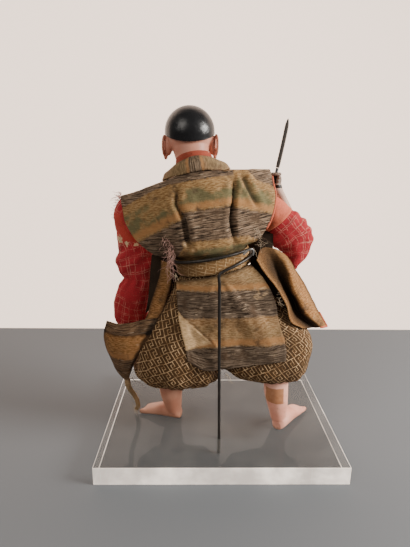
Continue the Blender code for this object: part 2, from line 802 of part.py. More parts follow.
# The left flap: a narrow strip down from the belt, then the hanging leaf, each row left to right
LEFT_STRIP_ROWS = (
    ((62.5, 24.5, 187), (54, 26.5, 185)),
    ((63.5, 26.5, 174), (51, 29, 173)),
    ((67.5, 30, 160), (53.2, 34, 159)),
    ((73.5, 35, 142), (59.5, 42, 141)),
)
LEFT_FLAP_ROWS = (
    ((119.5, 32, 124), (106.5, 38, 123), (93.8, 40, 125), (78.4, 41, 129), (64.2, 42, 131)),
    ((122.5, 33, 112), (111.8, 40, 110), (97.9, 43, 110), (85.7, 43, 111), (71.5, 42, 113)),
    ((122.5, 33, 97), (113.8, 39, 94.3), (102.8, 42, 94.6), (92.5, 42, 95), (81.4, 40, 96)),
    ((119, 30, 80.6), (112.2, 35, 78.5), (104.5, 37, 77.5), (97.1, 37, 77.5), (91, 35, 79)),
    ((113, 27, 64), (109, 28.5, 60.5), (103.5, 29, 57.5), (100.5, 29, 58.5), (98.2, 28, 60.5)),
)


# The dark sides of the skirt, behind the flaps: rows from the belt down, each from the belt outwards
LEFT_SIDE_ROWS = (
    ((49.5, 6, 180.5), (56, 14, 183), (64, 16, 185), (73, 16, 186)),
    ((50.5, 8, 168), (57, 15, 168), (66, 18, 168), (75, 17, 169)),
    ((59, 9, 150), (63, 18, 149), (70, 21, 148), (77, 19, 147)),
    ((74, 8, 133), (75.5, 14, 132), (78, 18, 130), (80.5, 20, 128)),
)
RIGHT_SIDE_ROWS = (
    ((-34.5, 8, 203.5), (-38, 13, 204), (-42, 14, 204.8), (-46, 14, 205.5)),
    ((-39, 10, 184), (-44, 14, 184), (-49, 14, 185), (-54, 13, 186)),
    ((-50, 10, 157), (-56, 14, 158), (-62, 14, 159), (-68, 12, 160)),
    ((-69, 10, 140), (-71, 13, 140), (-74, 13, 141), (-78, 12, 142)),
)


def add_drapery(parts, puffs):
    under = [surface_of(obj) for obj in puffs]
    sheet("tail_panel", patch(TAIL_ROWS, 2, 2, under), "banded", parts)
    sheet("right_flap", patch(RIGHT_FLAP_ROWS, 1, 3, under), "banded", parts)
    sheet("left_skirt_side", patch(LEFT_SIDE_ROWS, 1, 1, under), "lining", parts)
    sheet("right_skirt_side", patch(RIGHT_SIDE_ROWS, 1, 1, under), "lining", parts)
    leaf = patch(LEFT_FLAP_ROWS, 1, 2, under)
    strip = patch(LEFT_STRIP_ROWS + (LEFT_FLAP_ROWS[0][-2:],), 1, 2)[:-1]
    lead = len(leaf[0]) - len(strip[0])
    above = [[leaf[0][0]] * lead + row for row in strip]
    gaps = {(i, j) for i in range(len(strip)) for j in range(lead)}
    sheet("left_flap", above + leaf, "banded", parts, gaps)


# The torn strip that hangs from the left flap's tip to beside the left foot
TORN_STRIP = (
    (100.5, 29, 54.5),
    (101, 27, 47),
    (99.5, 22.5, 38),
    (97, 17, 29),
    (94.5, 13, 20),
    (93.5, 10.5, 11),
    (95.5, 8, 4.8),
)


def add_torn_strip(parts):
    places = [doll(*point) for point in smooth(TORN_STRIP, 2)]
    tube("torn_strip", places, STRIP_DIAMETER / 2, "banded", parts)


def main():
    clear_scene()
    parts = new_collection("papier_mache_doll")
    cutters = new_collection("cutters")
    add_base(parts, cutters)
    tube("support_wire", wire_path(), WIRE_DIAMETER / 2, "steel", parts)
    puffs = add_trousers(parts, cutters)
    add_leg("left_leg", LEFT_CALF, LEFT_FOOT_LINE, parts, cutters)
    add_leg("right_leg", RIGHT_CALF, RIGHT_FOOT_LINE, parts, cutters)

    left_sleeve = limb("left_sleeve", LEFT_SLEEVE, "red", parts)
    sleeve_band, right_sleeve = add_right_sleeve(parts)
    right_hand = limb("right_hand", RIGHT_ARM, "skin", parts, count=14)
    left_hand = limb("left_hand", LEFT_ARM, "skin", parts, count=14)
    grip_room = turned("grip_room", grip_profile(FIT), along_grip(0), BLADE_LEAN.normalized(), None, cutters)
    combine(right_hand, grip_room, "DIFFERENCE")
    arm_room = limb("right_arm_room", RIGHT_ARM, None, cutters, count=14, grow=FIT)
    combine(right_sleeve, arm_room, "DIFFERENCE")
    combine(sleeve_band, arm_room, "DIFFERENCE")
    left_arm_room = limb("left_arm_room", LEFT_ARM, None, cutters, count=14, grow=FIT)
    combine(left_sleeve, left_arm_room, "DIFFERENCE")
    add_sword(parts)

    rooms = [
        limb("left_sleeve_room", LEFT_SLEEVE, None, cutters, grow=2 * FIT),
        loft("right_sleeve_room", right_sleeve_rings(2 * FIT), None, cutters),
        limb("neck_room", neck_line(), None, cutters, grow=2 * FIT),
    ]
    vest = add_vest(parts, cutters, rooms)
    add_head(parts, cutters)
    add_cap(parts)
    add_collars(parts, vest)
    add_belt(parts)
    add_drapery(parts, puffs)
    add_torn_strip(parts)


main()
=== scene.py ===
import math

import bmesh
import bpy
import numpy as np
from mathutils import Matrix, Vector, noise
from mathutils.bvhtree import BVHTree


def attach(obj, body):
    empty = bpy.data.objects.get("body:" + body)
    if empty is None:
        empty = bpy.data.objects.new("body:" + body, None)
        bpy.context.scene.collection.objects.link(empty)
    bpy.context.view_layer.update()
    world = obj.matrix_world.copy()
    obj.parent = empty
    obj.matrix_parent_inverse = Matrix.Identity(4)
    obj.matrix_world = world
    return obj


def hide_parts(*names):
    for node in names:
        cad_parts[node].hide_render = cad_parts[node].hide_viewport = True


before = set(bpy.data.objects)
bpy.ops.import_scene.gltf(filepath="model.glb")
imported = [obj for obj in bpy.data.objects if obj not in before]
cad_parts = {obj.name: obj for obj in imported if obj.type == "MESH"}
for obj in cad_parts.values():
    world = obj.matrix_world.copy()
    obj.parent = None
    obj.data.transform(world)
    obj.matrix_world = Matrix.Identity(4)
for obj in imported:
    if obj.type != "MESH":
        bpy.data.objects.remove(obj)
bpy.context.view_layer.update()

MM = 0.001
FOOT_TOP = 19
LEAN = math.radians(10.5)
WAIST = (10, 20, 188)


def doll(x, y, z):
    """A place on the doll in millimetres, with z counted from the foot's top."""
    return np.array([x, y, z + FOOT_TOP]) * MM


def torso(a, b, c):
    """A place in the leaning torso's frame: a to its left, b to its back, c up its spine."""
    x = WAIST[0] + a * math.cos(LEAN) + c * math.sin(LEAN)
    z = WAIST[2] - a * math.sin(LEAN) + c * math.cos(LEAN)
    return doll(x, WAIST[1] + b, z)


# Camera
def add_camera():
    data = bpy.data.cameras.new("camera")
    data.sensor_width = 36
    data.lens = 27.05
    data.clip_start = 0.01
    camera = bpy.data.objects.new("camera", data)
    right = Vector((-0.999858, 0.013253, 0.010452))
    up = Vector((0.006661, -0.259113, 0.965824))
    back = right.cross(up)
    turn = Matrix((right, up, back)).transposed()
    camera.matrix_world = Matrix.Translation((0.0242, 0.4326, 0.3019)) @ turn.to_4x4()
    bpy.context.scene.collection.objects.link(camera)
    bpy.context.scene.camera = camera


add_camera()


# Shapes
def linked(name, data):
    obj = bpy.data.objects.new(name, data)
    bpy.context.scene.collection.objects.link(obj)
    return obj


def formed(name, form):
    """An object with the mesh of a bmesh."""
    mesh = bpy.data.meshes.new(name)
    form.to_mesh(mesh)
    form.free()
    return linked(name, mesh)


def merged(name, parts):
    """One object with the meshes of several."""
    form = bmesh.new()
    for obj in parts:
        form.from_mesh(obj.data)
        bpy.data.objects.remove(obj)
    return formed(name, form)


def circle(count):
    return np.linspace(0, 2 * math.pi, count, endpoint=False)


def ramp(value, start, reach):
    """0 at the start and 1 beyond its reach, which may be negative."""
    return np.clip((value - start) / reach, 0, 1)


def curve(rows, steps):
    """A Catmull-Rom curve through rows of numbers or of points."""
    rows = np.asarray(rows, float)
    padded = np.concatenate([[2 * rows[0] - rows[1]], rows, [2 * rows[-1] - rows[-2]]])
    out = []
    for i in range(1, len(padded) - 2):
        before, here, ahead, after = padded[i - 1 : i + 3]
        for step in range(steps):
            t = step / steps
            square = 2 * before - 5 * here + 4 * ahead - after
            cube = 3 * here - before - 3 * ahead + after
            out.append(0.5 * (2 * here + (ahead - before) * t + square * t * t + cube * t**3))
    out.append(rows[-1])
    return np.array(out)


def power(value, exponent):
    return np.sign(value) * np.abs(value) ** exponent


def ring(centre, across, deep, count, exponent=1.0):
    turn = circle(count)[:, None]
    return centre + across * power(np.cos(turn), exponent) + deep * power(np.sin(turn), exponent)


def limb_rings(stations, count):
    """Rings square to the path through stations of x, y, z, half-width and half-depth."""
    centres = np.array([doll(*station[:3]) for station in stations])
    rings = []
    for i, station in enumerate(stations):
        ahead = centres[min(i + 1, len(centres) - 1)] - centres[max(i - 1, 0)]
        ahead /= np.linalg.norm(ahead)
        across = np.cross((0, 1, 0), ahead)
        across /= np.linalg.norm(across)
        deep = np.cross(ahead, across)
        rings.append(ring(centres[i], across * station[3] * MM, deep * station[4] * MM, count))
    return np.array(rings)


def normals(points, wrap):
    if wrap:
        aside = np.roll(points, -1, 1) - np.roll(points, 1, 1)
    else:
        aside = np.gradient(points, axis=1)
    out = np.cross(aside, np.gradient(points, axis=0))
    out /= np.maximum(np.linalg.norm(out, axis=-1, keepdims=True), 1e-12)
    if wrap:
        away = points - points.mean(axis=1, keepdims=True)
        return out if (out * away).sum() > 0 else -out
    return out if out[..., 1].sum() > 0 else -out


def pushed(points, relief, wrap):
    """The points, moved out by millimetres of relief."""
    return points + normals(points, wrap) * np.asarray(relief)[..., None] * MM


def in_mm(points):
    """The x, and the height over the foot, of points in millimetres."""
    return points[..., 0] / MM, points[..., 2] / MM - FOOT_TOP


def rough(points, size, seed=0, stretch=(1, 1, 1)):
    """Smooth noise over points, with lumps about this many metres wide."""
    scale = np.array(stretch) / size
    shift = Vector((seed * 3.1, seed * 1.7, seed * 5.3))
    flat = [noise.noise(Vector(point * scale) + shift) for point in points.reshape(-1, 3)]
    return np.array(flat).reshape(points.shape[:-1])


def gauss(value, width):
    return np.exp(-((value / width) ** 2))


def cloth_uv(points, wrap):
    """Metres along the weave: round each row from its middle, and down the middle column."""
    around = np.concatenate([points, points[:, :1]], axis=1) if wrap else points
    step = np.linalg.norm(np.diff(around, axis=1), axis=-1)
    u = np.concatenate([np.zeros((len(points), 1)), np.cumsum(step, axis=1)], axis=1)
    middle = points.shape[1] // (4 if wrap else 2)
    u -= u[:, middle : middle + 1]
    down = np.linalg.norm(np.diff(points[:, middle], axis=0), axis=-1)
    v = np.concatenate([[0], np.cumsum(down)])
    return np.stack([u, np.broadcast_to(v[:, None], u.shape)], axis=-1)


def grid_mesh(name, points, wrap=False, caps=False, band=None, uv=None):
    """A mesh over a grid of points, with its weave in one UV map and its bands in another."""
    rows, count = points.shape[:2]
    columns = count if wrap else count - 1
    i, j = np.meshgrid(np.arange(rows - 1), np.arange(columns), indexing="ij")
    k = (j + 1) % count
    faces = np.stack([i * count + j, i * count + k, (i + 1) * count + k, (i + 1) * count + j], axis=-1)
    faces = faces.reshape(-1, 4).tolist()
    if caps:
        faces.append(list(range(count))[::-1])
        faces.append([(rows - 1) * count + n for n in range(count)])
    mesh = bpy.data.meshes.new(name)
    mesh.from_pydata(points.reshape(-1, 3).tolist(), [], faces)
    weave = cloth_uv(points, wrap) if uv is None else uv
    maps = [("weave", weave)]
    if band is not None:
        if wrap:
            band = np.concatenate([band, band[:, :1]], axis=1)
        maps.append(("band", band))
    for title, values in maps:
        layer = mesh.uv_layers.new(name=title)
        corners = np.stack(
            [values[i, j], values[i, j + 1], values[i + 1, j + 1], values[i + 1, j]], axis=2
        ).reshape(-1, 2)
        flat = np.zeros((len(mesh.loops), 2))
        flat[: len(corners)] = corners
        layer.data.foreach_set("uv", flat.ravel())
    mesh.validate()
    form = bmesh.new()
    form.from_mesh(mesh)
    bmesh.ops.recalc_face_normals(form, faces=form.faces)
    form.to_mesh(mesh)
    form.free()
    mesh.shade_smooth()
    return linked(name, mesh)


def closed_mesh(name, points, **maps):
    return grid_mesh(name, points, wrap=True, caps=True, **maps)


def thicken(obj, thickness):
    shell = obj.modifiers.new("Cloth", "SOLIDIFY")
    shell.thickness = thickness
    shell.offset = 0


def finish(obj, material, slot, *nodes):
    """The piece's material, its slot (not used), the body it rides on and the nodes it stands for."""
    obj.data.materials.clear()
    obj.data.materials.append(material)
    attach(obj, "root")
    if nodes:
        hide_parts(*nodes)
    return obj


def tree_of(obj):
    """The surface of an object as it is drawn."""
    graph = bpy.context.evaluated_depsgraph_get()
    return BVHTree.FromObject(obj, graph)


def keep_off(points, trees, distance):
    """The points, moved out where they lie inside a surface or closer to it than the distance."""
    flat = points.reshape(-1, 3).copy()
    for _ in range(2):
        for tree in trees:
            for n, point in enumerate(flat):
                place, normal, _, gap = tree.find_nearest(Vector(point), 0.03)
                if place and (gap < distance or (Vector(point) - place).dot(normal) < 0):
                    flat[n] = place + normal * distance
    return flat.reshape(points.shape)


def lay_on(points, tree, distance, share):
    """The points, drawn down by their share onto a surface, this far off it."""
    flat = points.reshape(-1, 3).copy()
    shares = np.broadcast_to(share, points.shape[:-1]).ravel()
    for n, point in enumerate(flat):
        place, normal, _, _ = tree.find_nearest(Vector(point))
        flat[n] = point + (np.array(place + normal * distance) - point) * shares[n]
    return flat.reshape(points.shape)


def tube(name, points, radii, sides=12):
    """A tube along points, as wide as its radii, with turned ends."""
    points = np.asarray(points, float)
    radii = np.broadcast_to(radii, len(points))
    ahead = np.gradient(points, axis=0)
    ahead /= np.linalg.norm(ahead, axis=1, keepdims=True)
    side = Vector(ahead[0]).orthogonal().normalized()
    rings = []
    for n, point in enumerate(points):
        direction = Vector(ahead[n])
        side = (side - direction * side.dot(direction)).normalized()
        other = direction.cross(side)
        turn = circle(sides)[:, None]
        rings.append(point + radii[n] * (np.cos(turn) * np.array(side) + np.sin(turn) * np.array(other)))
    return grid_mesh(name, np.array(rings), wrap=True, caps=True)


def fuse(name, parts, voxel, smoothing):
    """One closed skin over several overlapping forms."""
    obj = merged(name, parts)
    remesh = obj.modifiers.new("Skin", "REMESH")
    remesh.mode = "VOXEL"
    remesh.voxel_size = voxel
    soft = obj.modifiers.new("Soft", "SMOOTH")
    soft.iterations = smoothing
    graph = bpy.context.evaluated_depsgraph_get()
    made = bpy.data.meshes.new_from_object(obj.evaluated_get(graph))
    obj.modifiers.clear()
    obj.data = made
    made.shade_smooth()
    return obj


def ball(centre, size, detail=3):
    """An ellipsoid at a place in millimetres on the doll."""
    form = bmesh.new()
    bmesh.ops.create_icosphere(form, subdivisions=detail, radius=1)
    for vert in form.verts:
        vert.co = doll(*(np.array(centre) + np.array(vert.co) * size))
    return formed("ball", form)


def finger(points, radius):
    """A rounded finger through places in millimetres on the doll."""
    path = curve(points, 6)
    return [ball(point, (radius, radius, radius), 2) for point in path]


# Materials
class Shader:
    def __init__(self, name, **sockets):
        self.material = bpy.data.materials.new(name)
        self.material.use_nodes = True
        self.tree = self.material.node_tree
        self.surface = self.tree.nodes["Principled BSDF"]
        self.set(**sockets)

    def set(self, **sockets):
        for title, value in sockets.items():
            self.plug(self.surface, title.replace("_", " "), value)

    def plug(self, node, title, value):
        if isinstance(value, bpy.types.NodeSocket):
            self.tree.links.new(value, node.inputs[title])
        else:
            node.inputs[title].default_value = value

    def node(self, kind, sockets=None, **settings):
        made = self.tree.nodes.new("ShaderNode" + kind)
        for title, value in settings.items():
            setattr(made, title, value)
        for title, value in (sockets or {}).items():
            self.plug(made, title, value)
        return made

    def math(self, operation, *values, clamp=False):
        made = self.node("Math", dict(enumerate(values)), operation=operation, use_clamp=clamp)
        return made.outputs[0]

    def mul(self, a, b):
        return self.math("MULTIPLY", a, b)

    def add(self, a, b):
        return self.math("ADD", a, b)

    def sub(self, a, b):
        return self.math("SUBTRACT", a, b)

    def most(self, a, b):
        return self.math("MAXIMUM", a, b)

    def gap(self, a, b):
        """How far apart two values are."""
        return self.math("ABSOLUTE", self.math("SUBTRACT", a, b))

    def spread(self, value, width):
        """A value from 0 to 1, spread over a width with 0 in its middle."""
        return self.math("MULTIPLY_ADD", value, width, -width / 2)

    def uv(self, title):
        return self.node("UVMap", uv_map=title).outputs[0]

    def place(self):
        return self.node("TexCoord").outputs["Object"]

    def split(self, vector):
        made = self.node("SeparateXYZ", {0: vector})
        return made.outputs

    def scaled(self, vector, scale, turn=0.0, shift=(0, 0, 0)):
        sockets = {"Vector": vector, "Scale": scale, "Rotation": (0, 0, turn), "Location": shift}
        return self.node("Mapping", sockets).outputs[0]

    def noise(self, vector, scale=1.0, detail=2.0, roughness=0.5):
        sockets = {"Vector": vector, "Scale": scale, "Detail": detail, "Roughness": roughness}
        return self.node("TexNoise", sockets).outputs[0]

    def mix(self, share, low, high, blend="MIX"):
        made = self.node("Mix", data_type="RGBA", blend_type=blend)
        for index, value in ((0, share), (6, low), (7, high)):
            if isinstance(value, bpy.types.NodeSocket):
                self.tree.links.new(value, made.inputs[index])
            else:
                made.inputs[index].default_value = (*value, 1) if index else value
        return made.outputs[2]

    def step(self, value, low, high):
        """0 under low, 1 over high and smooth between them. It falls where low is the higher."""
        sockets = {"Value": value, "From Min": low, "From Max": high}
        made = self.node("MapRange", sockets, interpolation_type="SMOOTHSTEP")
        return made.outputs[0]

    def lift(self, height, distance, strength=1.0):
        sockets = {"Height": height, "Distance": distance, "Strength": strength}
        self.set(Normal=self.node("Bump", sockets).outputs[0])


def threads_height(s, uv, pitch=2600):
    """A plain weave: fine threads both ways, each a little uneven."""
    weft = s.noise(s.scaled(uv, (pitch * 0.12, pitch, 1)), detail=1)
    warp = s.noise(s.scaled(uv, (pitch, pitch * 0.12, 1)), detail=1)
    return s.add(weft, warp)


def banded_cloth(name, tan_a, tan_b, dark_a, dark_b, olive):
    """Old silk in tan and dark bands: streaked weft, worn patches and dirt, with painted shade and painted
    highlight from the band map.
    """
    s = Shader(name, Roughness=0.85, Specular_IOR_Level=0.2)
    uv = s.uv("weave")
    place = s.place()
    long_streak = s.noise(s.scaled(uv, (60, 1050, 1)), detail=3, roughness=0.7)
    short_streak = s.noise(s.scaled(uv, (210, 950, 1)), detail=3, roughness=0.65)
    hair = s.noise(s.scaled(uv, (75, 620, 1), 0.12), detail=2, roughness=0.6)
    band, shade, _ = s.split(s.uv("band"))
    feather = s.spread(s.noise(s.scaled(uv, (420, 160, 1)), detail=2), 0.16)
    shifted = s.add(band, feather)
    wave = s.math("SINE", s.mul(shifted, math.pi))
    dark = s.step(wave, -0.12, 0.18)
    share = s.math("FRACT", shifted)
    blotch = s.noise(place, 42, 3, 0.6)
    tan = s.mix(s.step(short_streak, 0.36, 0.64), tan_a, tan_b)
    inner = s.mul(s.step(share, 0.16, 0.32), s.step(share, 0.92, 0.72))
    inner = s.mul(inner, s.step(blotch, 0.40, 0.56))
    green = s.mix(short_streak, (0.075, 0.075, 0.032), (0.20, 0.175, 0.085))
    tan = s.mix(s.mul(inner, olive), tan, green)
    edge = s.mul(s.step(share, 0.66, 0.82), s.step(share, 1.0, 0.9))
    tan = s.mix(s.mul(edge, 0.75), tan, (0.42, 0.20, 0.075))
    deep = s.mix(s.step(long_streak, 0.40, 0.60), dark_a, dark_b)
    deep = s.mix(s.mul(s.step(hair, 0.60, 0.68), 0.8), deep, (0.44, 0.325, 0.22))
    colour = s.mix(dark, tan, deep)
    dirt = s.noise(place, 75, 4, 0.62)
    colour = s.mix(s.step(dirt, 0.52, 0.76), colour, (0.085, 0.05, 0.028))
    worn = s.noise(s.scaled(place, (1, 1, 1), shift=(3, 1, 2)), 120, 3, 0.6)
    colour = s.mix(s.mul(s.step(worn, 0.62, 0.78), 0.5), colour, (0.44, 0.30, 0.17))
    # The band map's second value: above zero it darkens the cloth towards near-black, as painted shade; below
    # zero it paints the cloth paler, for real bleached marks and as painted highlight.
    bleach_and_painted_highlight = s.math("MULTIPLY", shade, -1.0, clamp=True)
    cream = s.mix(s.step(short_streak, 0.35, 0.65), (0.52, 0.32, 0.15), (0.88, 0.60, 0.33))
    colour = s.mix(bleach_and_painted_highlight, colour, cream)
    colour = s.mix(s.math("MULTIPLY", shade, 1.0, clamp=True), colour, (0.012, 0.007, 0.004))
    s.set(Base_Color=colour)
    height = s.add(threads_height(s, uv), s.mul(long_streak, 1.6))
    s.lift(height, 0.00035, 0.75)
    return s.material


# The key fret's lines on a skewed square of 8 steps: long lines, and hooks between them
FRET = (
    ((0, 0), (8, 0)), ((0, 0), (0, 8)), ((0, 2.7), (5.4, 2.7)), ((5.4, 2.7), (5.4, 4.1)),
    ((2.7, 5.4), (8, 5.4)), ((2.7, 4.1), (2.7, 5.4)),
)


def fret_cloth(name, ground_a, ground_b, line_a, line_b, size=0.0112, turn=0.0, thick=0.17):
    """Dark cloth with a fine key fret of slanted lines, rubbed here and there."""
    s = Shader(name, Roughness=0.9, Specular_IOR_Level=0.15)
    uv = s.uv("weave")
    place = s.place()
    bend = s.spread(s.noise(place, 60, 2), 0.0042)
    x, y, _ = s.split(s.scaled(uv, (1, 1, 1), turn))
    x = s.add(x, bend)
    y = s.add(y, bend)
    steps = 8 / size
    p = s.mul(s.add(x, s.mul(y, 0.55)), steps)
    q = s.mul(s.sub(y, s.mul(x, 0.42)), steps)
    p = s.math("FLOORED_MODULO", p, 8.0)
    q = s.math("FLOORED_MODULO", q, 8.0)
    nearest = None
    for (x0, y0), (x1, y1) in FRET:
        for shift_x in (0, -8, 8) if x0 == 0 or x1 >= 8 else (0,):
            for shift_y in (0, -8, 8) if y0 == 0 or y1 >= 8 else (0,):
                centre = ((x0 + x1) / 2 + shift_x, (y0 + y1) / 2 + shift_y)
                half = ((x1 - x0) / 2, (y1 - y0) / 2)
                if centre[0] + half[0] < -1 or centre[0] - half[0] > 9:
                    continue
                if centre[1] + half[1] < -1 or centre[1] - half[1] > 9:
                    continue
                dx = s.sub(s.gap(p, centre[0]), half[0])
                dy = s.sub(s.gap(q, centre[1]), half[1])
                gap = s.most(dx, dy)
                nearest = gap if nearest is None else s.math("MINIMUM", nearest, gap)
    fuzz = s.spread(s.noise(s.scaled(uv, (1500, 1500, 1)), detail=1), 0.5)
    line = s.step(s.add(nearest, fuzz), thick + 0.28, thick - 0.12)
    rubbed = s.noise(place, 90, 3, 0.6)
    line = s.mul(line, s.step(rubbed, 0.22, 0.52))
    ground = s.mix(s.noise(s.scaled(uv, (900, 300, 1)), detail=2), ground_a, ground_b)
    thread = s.mix(s.step(s.noise(place, 170, 3), 0.3, 0.7), line_a, line_b)
    colour = s.mix(line, ground, thread)
    colour = s.mix(s.mul(s.step(rubbed, 0.58, 0.8), 0.5), colour, (0.20, 0.115, 0.055))
    shade = s.noise(place, 35, 2)
    colour = s.mix(s.mul(s.step(shade, 0.5, 0.75), 0.45), colour, (0.02, 0.011, 0.006))
    s.set(Base_Color=colour)
    height = s.add(threads_height(s, uv), s.mul(line, 1.4))
    s.lift(height, 0.0004, 0.8)
    return s.material


def check_cloth(name):
    """Dark red cloth with a thin pale check, torn open and faded in places."""
    s = Shader(name, Roughness=0.8, Specular_IOR_Level=0.2)
    uv = s.uv("weave")
    place = s.place()
    bend = s.spread(s.noise(place, 45, 2), 0.009)
    x, y, _ = s.split(uv)
    x = s.add(x, bend)
    y = s.add(y, bend)
    lines = None
    for axis, pitch, offsets in ((x, 0.0150, (0, 0.0024, 0.0081)), (y, 0.0165, (0, 0.0019, 0.0095))):
        for offset in offsets:
            near = s.math("FLOORED_MODULO", s.add(axis, offset), pitch)
            near = s.gap(near, pitch / 2)
            near = s.step(near, 0.00055, 0.00015)
            lines = near if lines is None else s.most(lines, near)
    fine = s.noise(s.scaled(uv, (700, 700, 1)), detail=2)
    fade = s.noise(place, 55, 3, 0.6)
    plain = s.split(s.uv("band"))[0]
    lines = s.mul(lines, s.step(fine, 0.25, 0.6))
    lines = s.mul(lines, s.step(fade, 0.32, 0.6))
    lines = s.mul(lines, s.sub(1.0, plain))
    red = s.mix(fine, (0.20, 0.009, 0.014), (0.54, 0.036, 0.044))
    bright = s.mix(fine, (0.38, 0.028, 0.022), (0.56, 0.085, 0.058))
    red = s.mix(plain, red, bright)
    colour = s.mix(s.mul(lines, 0.7), red, (0.66, 0.27, 0.20))
    colour = s.mix(s.mul(s.step(fade, 0.55, 0.78), 0.6), colour, (0.035, 0.002, 0.002))
    torn = s.split(s.uv("band"))[1]
    ragged = s.add(torn, s.spread(s.noise(place, 420, 3, 0.7), 1.3))
    colour = s.mix(s.step(ragged, 0.30, 0.42), colour, (0.66, 0.46, 0.27))
    colour = s.mix(s.step(ragged, 0.62, 0.72), colour, (0.05, 0.02, 0.012))
    s.set(Base_Color=colour)
    s.lift(threads_height(s, uv, 2200), 0.0003, 0.7)
    return s.material


def plain_cloth(name, dark, light):
    s = Shader(name, Roughness=0.85, Specular_IOR_Level=0.2)
    uv = s.uv("weave")
    place = s.place()
    fine = s.noise(s.scaled(uv, (500, 900, 1)), detail=3, roughness=0.6)
    colour = s.mix(fine, dark, light)
    spot = s.noise(place, 130, 3, 0.6)
    deep = tuple(0.45 * value for value in dark)
    colour = s.mix(s.mul(s.step(spot, 0.55, 0.75), 0.5), colour, deep)
    s.set(Base_Color=colour)
    s.lift(threads_height(s, uv), 0.0003, 0.7)
    return s.material


def painted_paper(name, tone=(0.66, 0.335, 0.245), worn_box=None, dark_above=None):
    """Flesh paint over papier-mache: mottled, darkened in its hollows by dirt and painted shade, and browned
    at its soles.
    """
    s = Shader(name, Roughness=0.45, Specular_IOR_Level=0.25)
    place = s.place()
    cloud = s.noise(place, 45, 3, 0.55)
    pale = tuple(min(1, value * 1.12) for value in tone)
    rosy = (tone[0] * 0.86, tone[1] * 0.70, tone[2] * 0.66)
    colour = s.mix(s.step(cloud, 0.3, 0.7), rosy, pale)
    speck = s.noise(place, 380, 3, 0.65)
    colour = s.mix(s.mul(s.step(speck, 0.6, 0.72), 0.4), colour, (0.32, 0.17, 0.10))
    # Darker in the hollows: partly dirt, partly painted shade.
    pointy = s.node("NewGeometry").outputs["Pointiness"]
    hollow_dirt_and_shade = s.step(pointy, 0.485, 0.44)
    colour = s.mix(s.mul(hollow_dirt_and_shade, 0.3), colour, (0.30, 0.14, 0.08))
    x, y, z = s.split(place)
    edge = s.spread(s.noise(place, 160, 3, 0.6), 0.008)
    low = s.step(s.add(z, edge), 0.0245, 0.0195)
    colour = s.mix(s.mul(low, 0.8), colour, (0.27, 0.13, 0.065))
    if worn_box:
        inside = None
        for axis, (low_end, high_end) in zip((x, y, z), worn_box):
            jitter = s.add(axis, s.mul(edge, 0.3))
            above = s.step(jitter, low_end, low_end + 0.0006)
            part = s.mul(above, s.step(jitter, high_end, high_end - 0.0006))
            inside = part if inside is None else s.mul(inside, part)
        patch = s.mix(s.noise(place, 260, 3), (0.27, 0.10, 0.038), (0.50, 0.235, 0.11))
        colour = s.mix(s.mul(inside, 0.92), colour, patch)
    if dark_above:
        grimy = s.step(s.add(z, edge), dark_above, dark_above + 0.002)
        colour = s.mix(s.mul(grimy, 0.9), colour, (0.13, 0.09, 0.07))
        band = s.gap(z, dark_above - 0.0015)
        colour = s.mix(s.step(band, 0.0022, 0.0014), colour, (0.015, 0.012, 0.010))
    s.set(Base_Color=colour)
    s.lift(s.add(speck, s.noise(place, 900, 2)), 0.00012, 0.5)
    return s.material


def lacquer(name):
    s = Shader(name, Specular_IOR_Level=0.4)
    place = s.place()
    haze = s.noise(place, 60, 4, 0.6)
    fine = s.noise(place, 420, 4, 0.7)
    colour = s.mix(s.step(fine, 0.66, 0.78), (0.008, 0.008, 0.009), (0.10, 0.095, 0.085))
    s.set(Base_Color=colour, Roughness=s.math("MULTIPLY_ADD", haze, 0.3, 0.17))
    s.lift(s.add(haze, s.mul(fine, 0.2)), 0.0016, 0.5)
    return s.material


def dull_metal(name, dark, light, metallic=0.9):
    s = Shader(name, Metallic=metallic)
    place = s.place()
    grain = s.noise(s.scaled(place, (900, 900, 120)), detail=3)
    rust = s.noise(place, 160, 4, 0.6)
    colour = s.mix(grain, dark, light)
    colour = s.mix(s.mul(s.step(rust, 0.56, 0.7), 0.4), colour, (0.08, 0.055, 0.04))
    s.set(Base_Color=colour, Roughness=s.math("MULTIPLY_ADD", rust, 0.3, 0.3))
    s.lift(grain, 0.0001, 0.3)
    return s.material


def clear_acrylic(name, alpha, tone, glow=0.0):
    """See-through by a plain alpha. The polished edges glow as painted light, standing in for the light the
    sheet carries.
    """
    s = Shader(name, Roughness=0.08, Specular_IOR_Level=0.5, Alpha=alpha, Emission_Strength=glow)
    place = s.place()
    scratch = s.noise(s.scaled(place, (500, 14, 14), 0.6), detail=3, roughness=0.7)
    other = s.noise(s.scaled(place, (12, 600, 14), -0.35), detail=3, roughness=0.7)
    lines = s.most(s.step(scratch, 0.66, 0.8), s.step(other, 0.68, 0.82))
    haze = s.step(s.noise(place, 22, 4, 0.6), 0.35, 0.75)
    dull = tuple(0.45 * value for value in tone)
    colour = s.mix(s.most(s.mul(lines, 0.7), haze), dull, tone)
    s.set(Base_Color=colour, Emission_Color=colour)
    return s.material


def thread_fibre(name, colour):
    s = Shader(name, Roughness=0.8, Specular_IOR_Level=0.2)
    tone = s.noise(s.place(), 300, 2)
    dark = tuple(0.55 * value for value in colour)
    s.set(Base_Color=s.mix(tone, dark, colour))
    return s.material


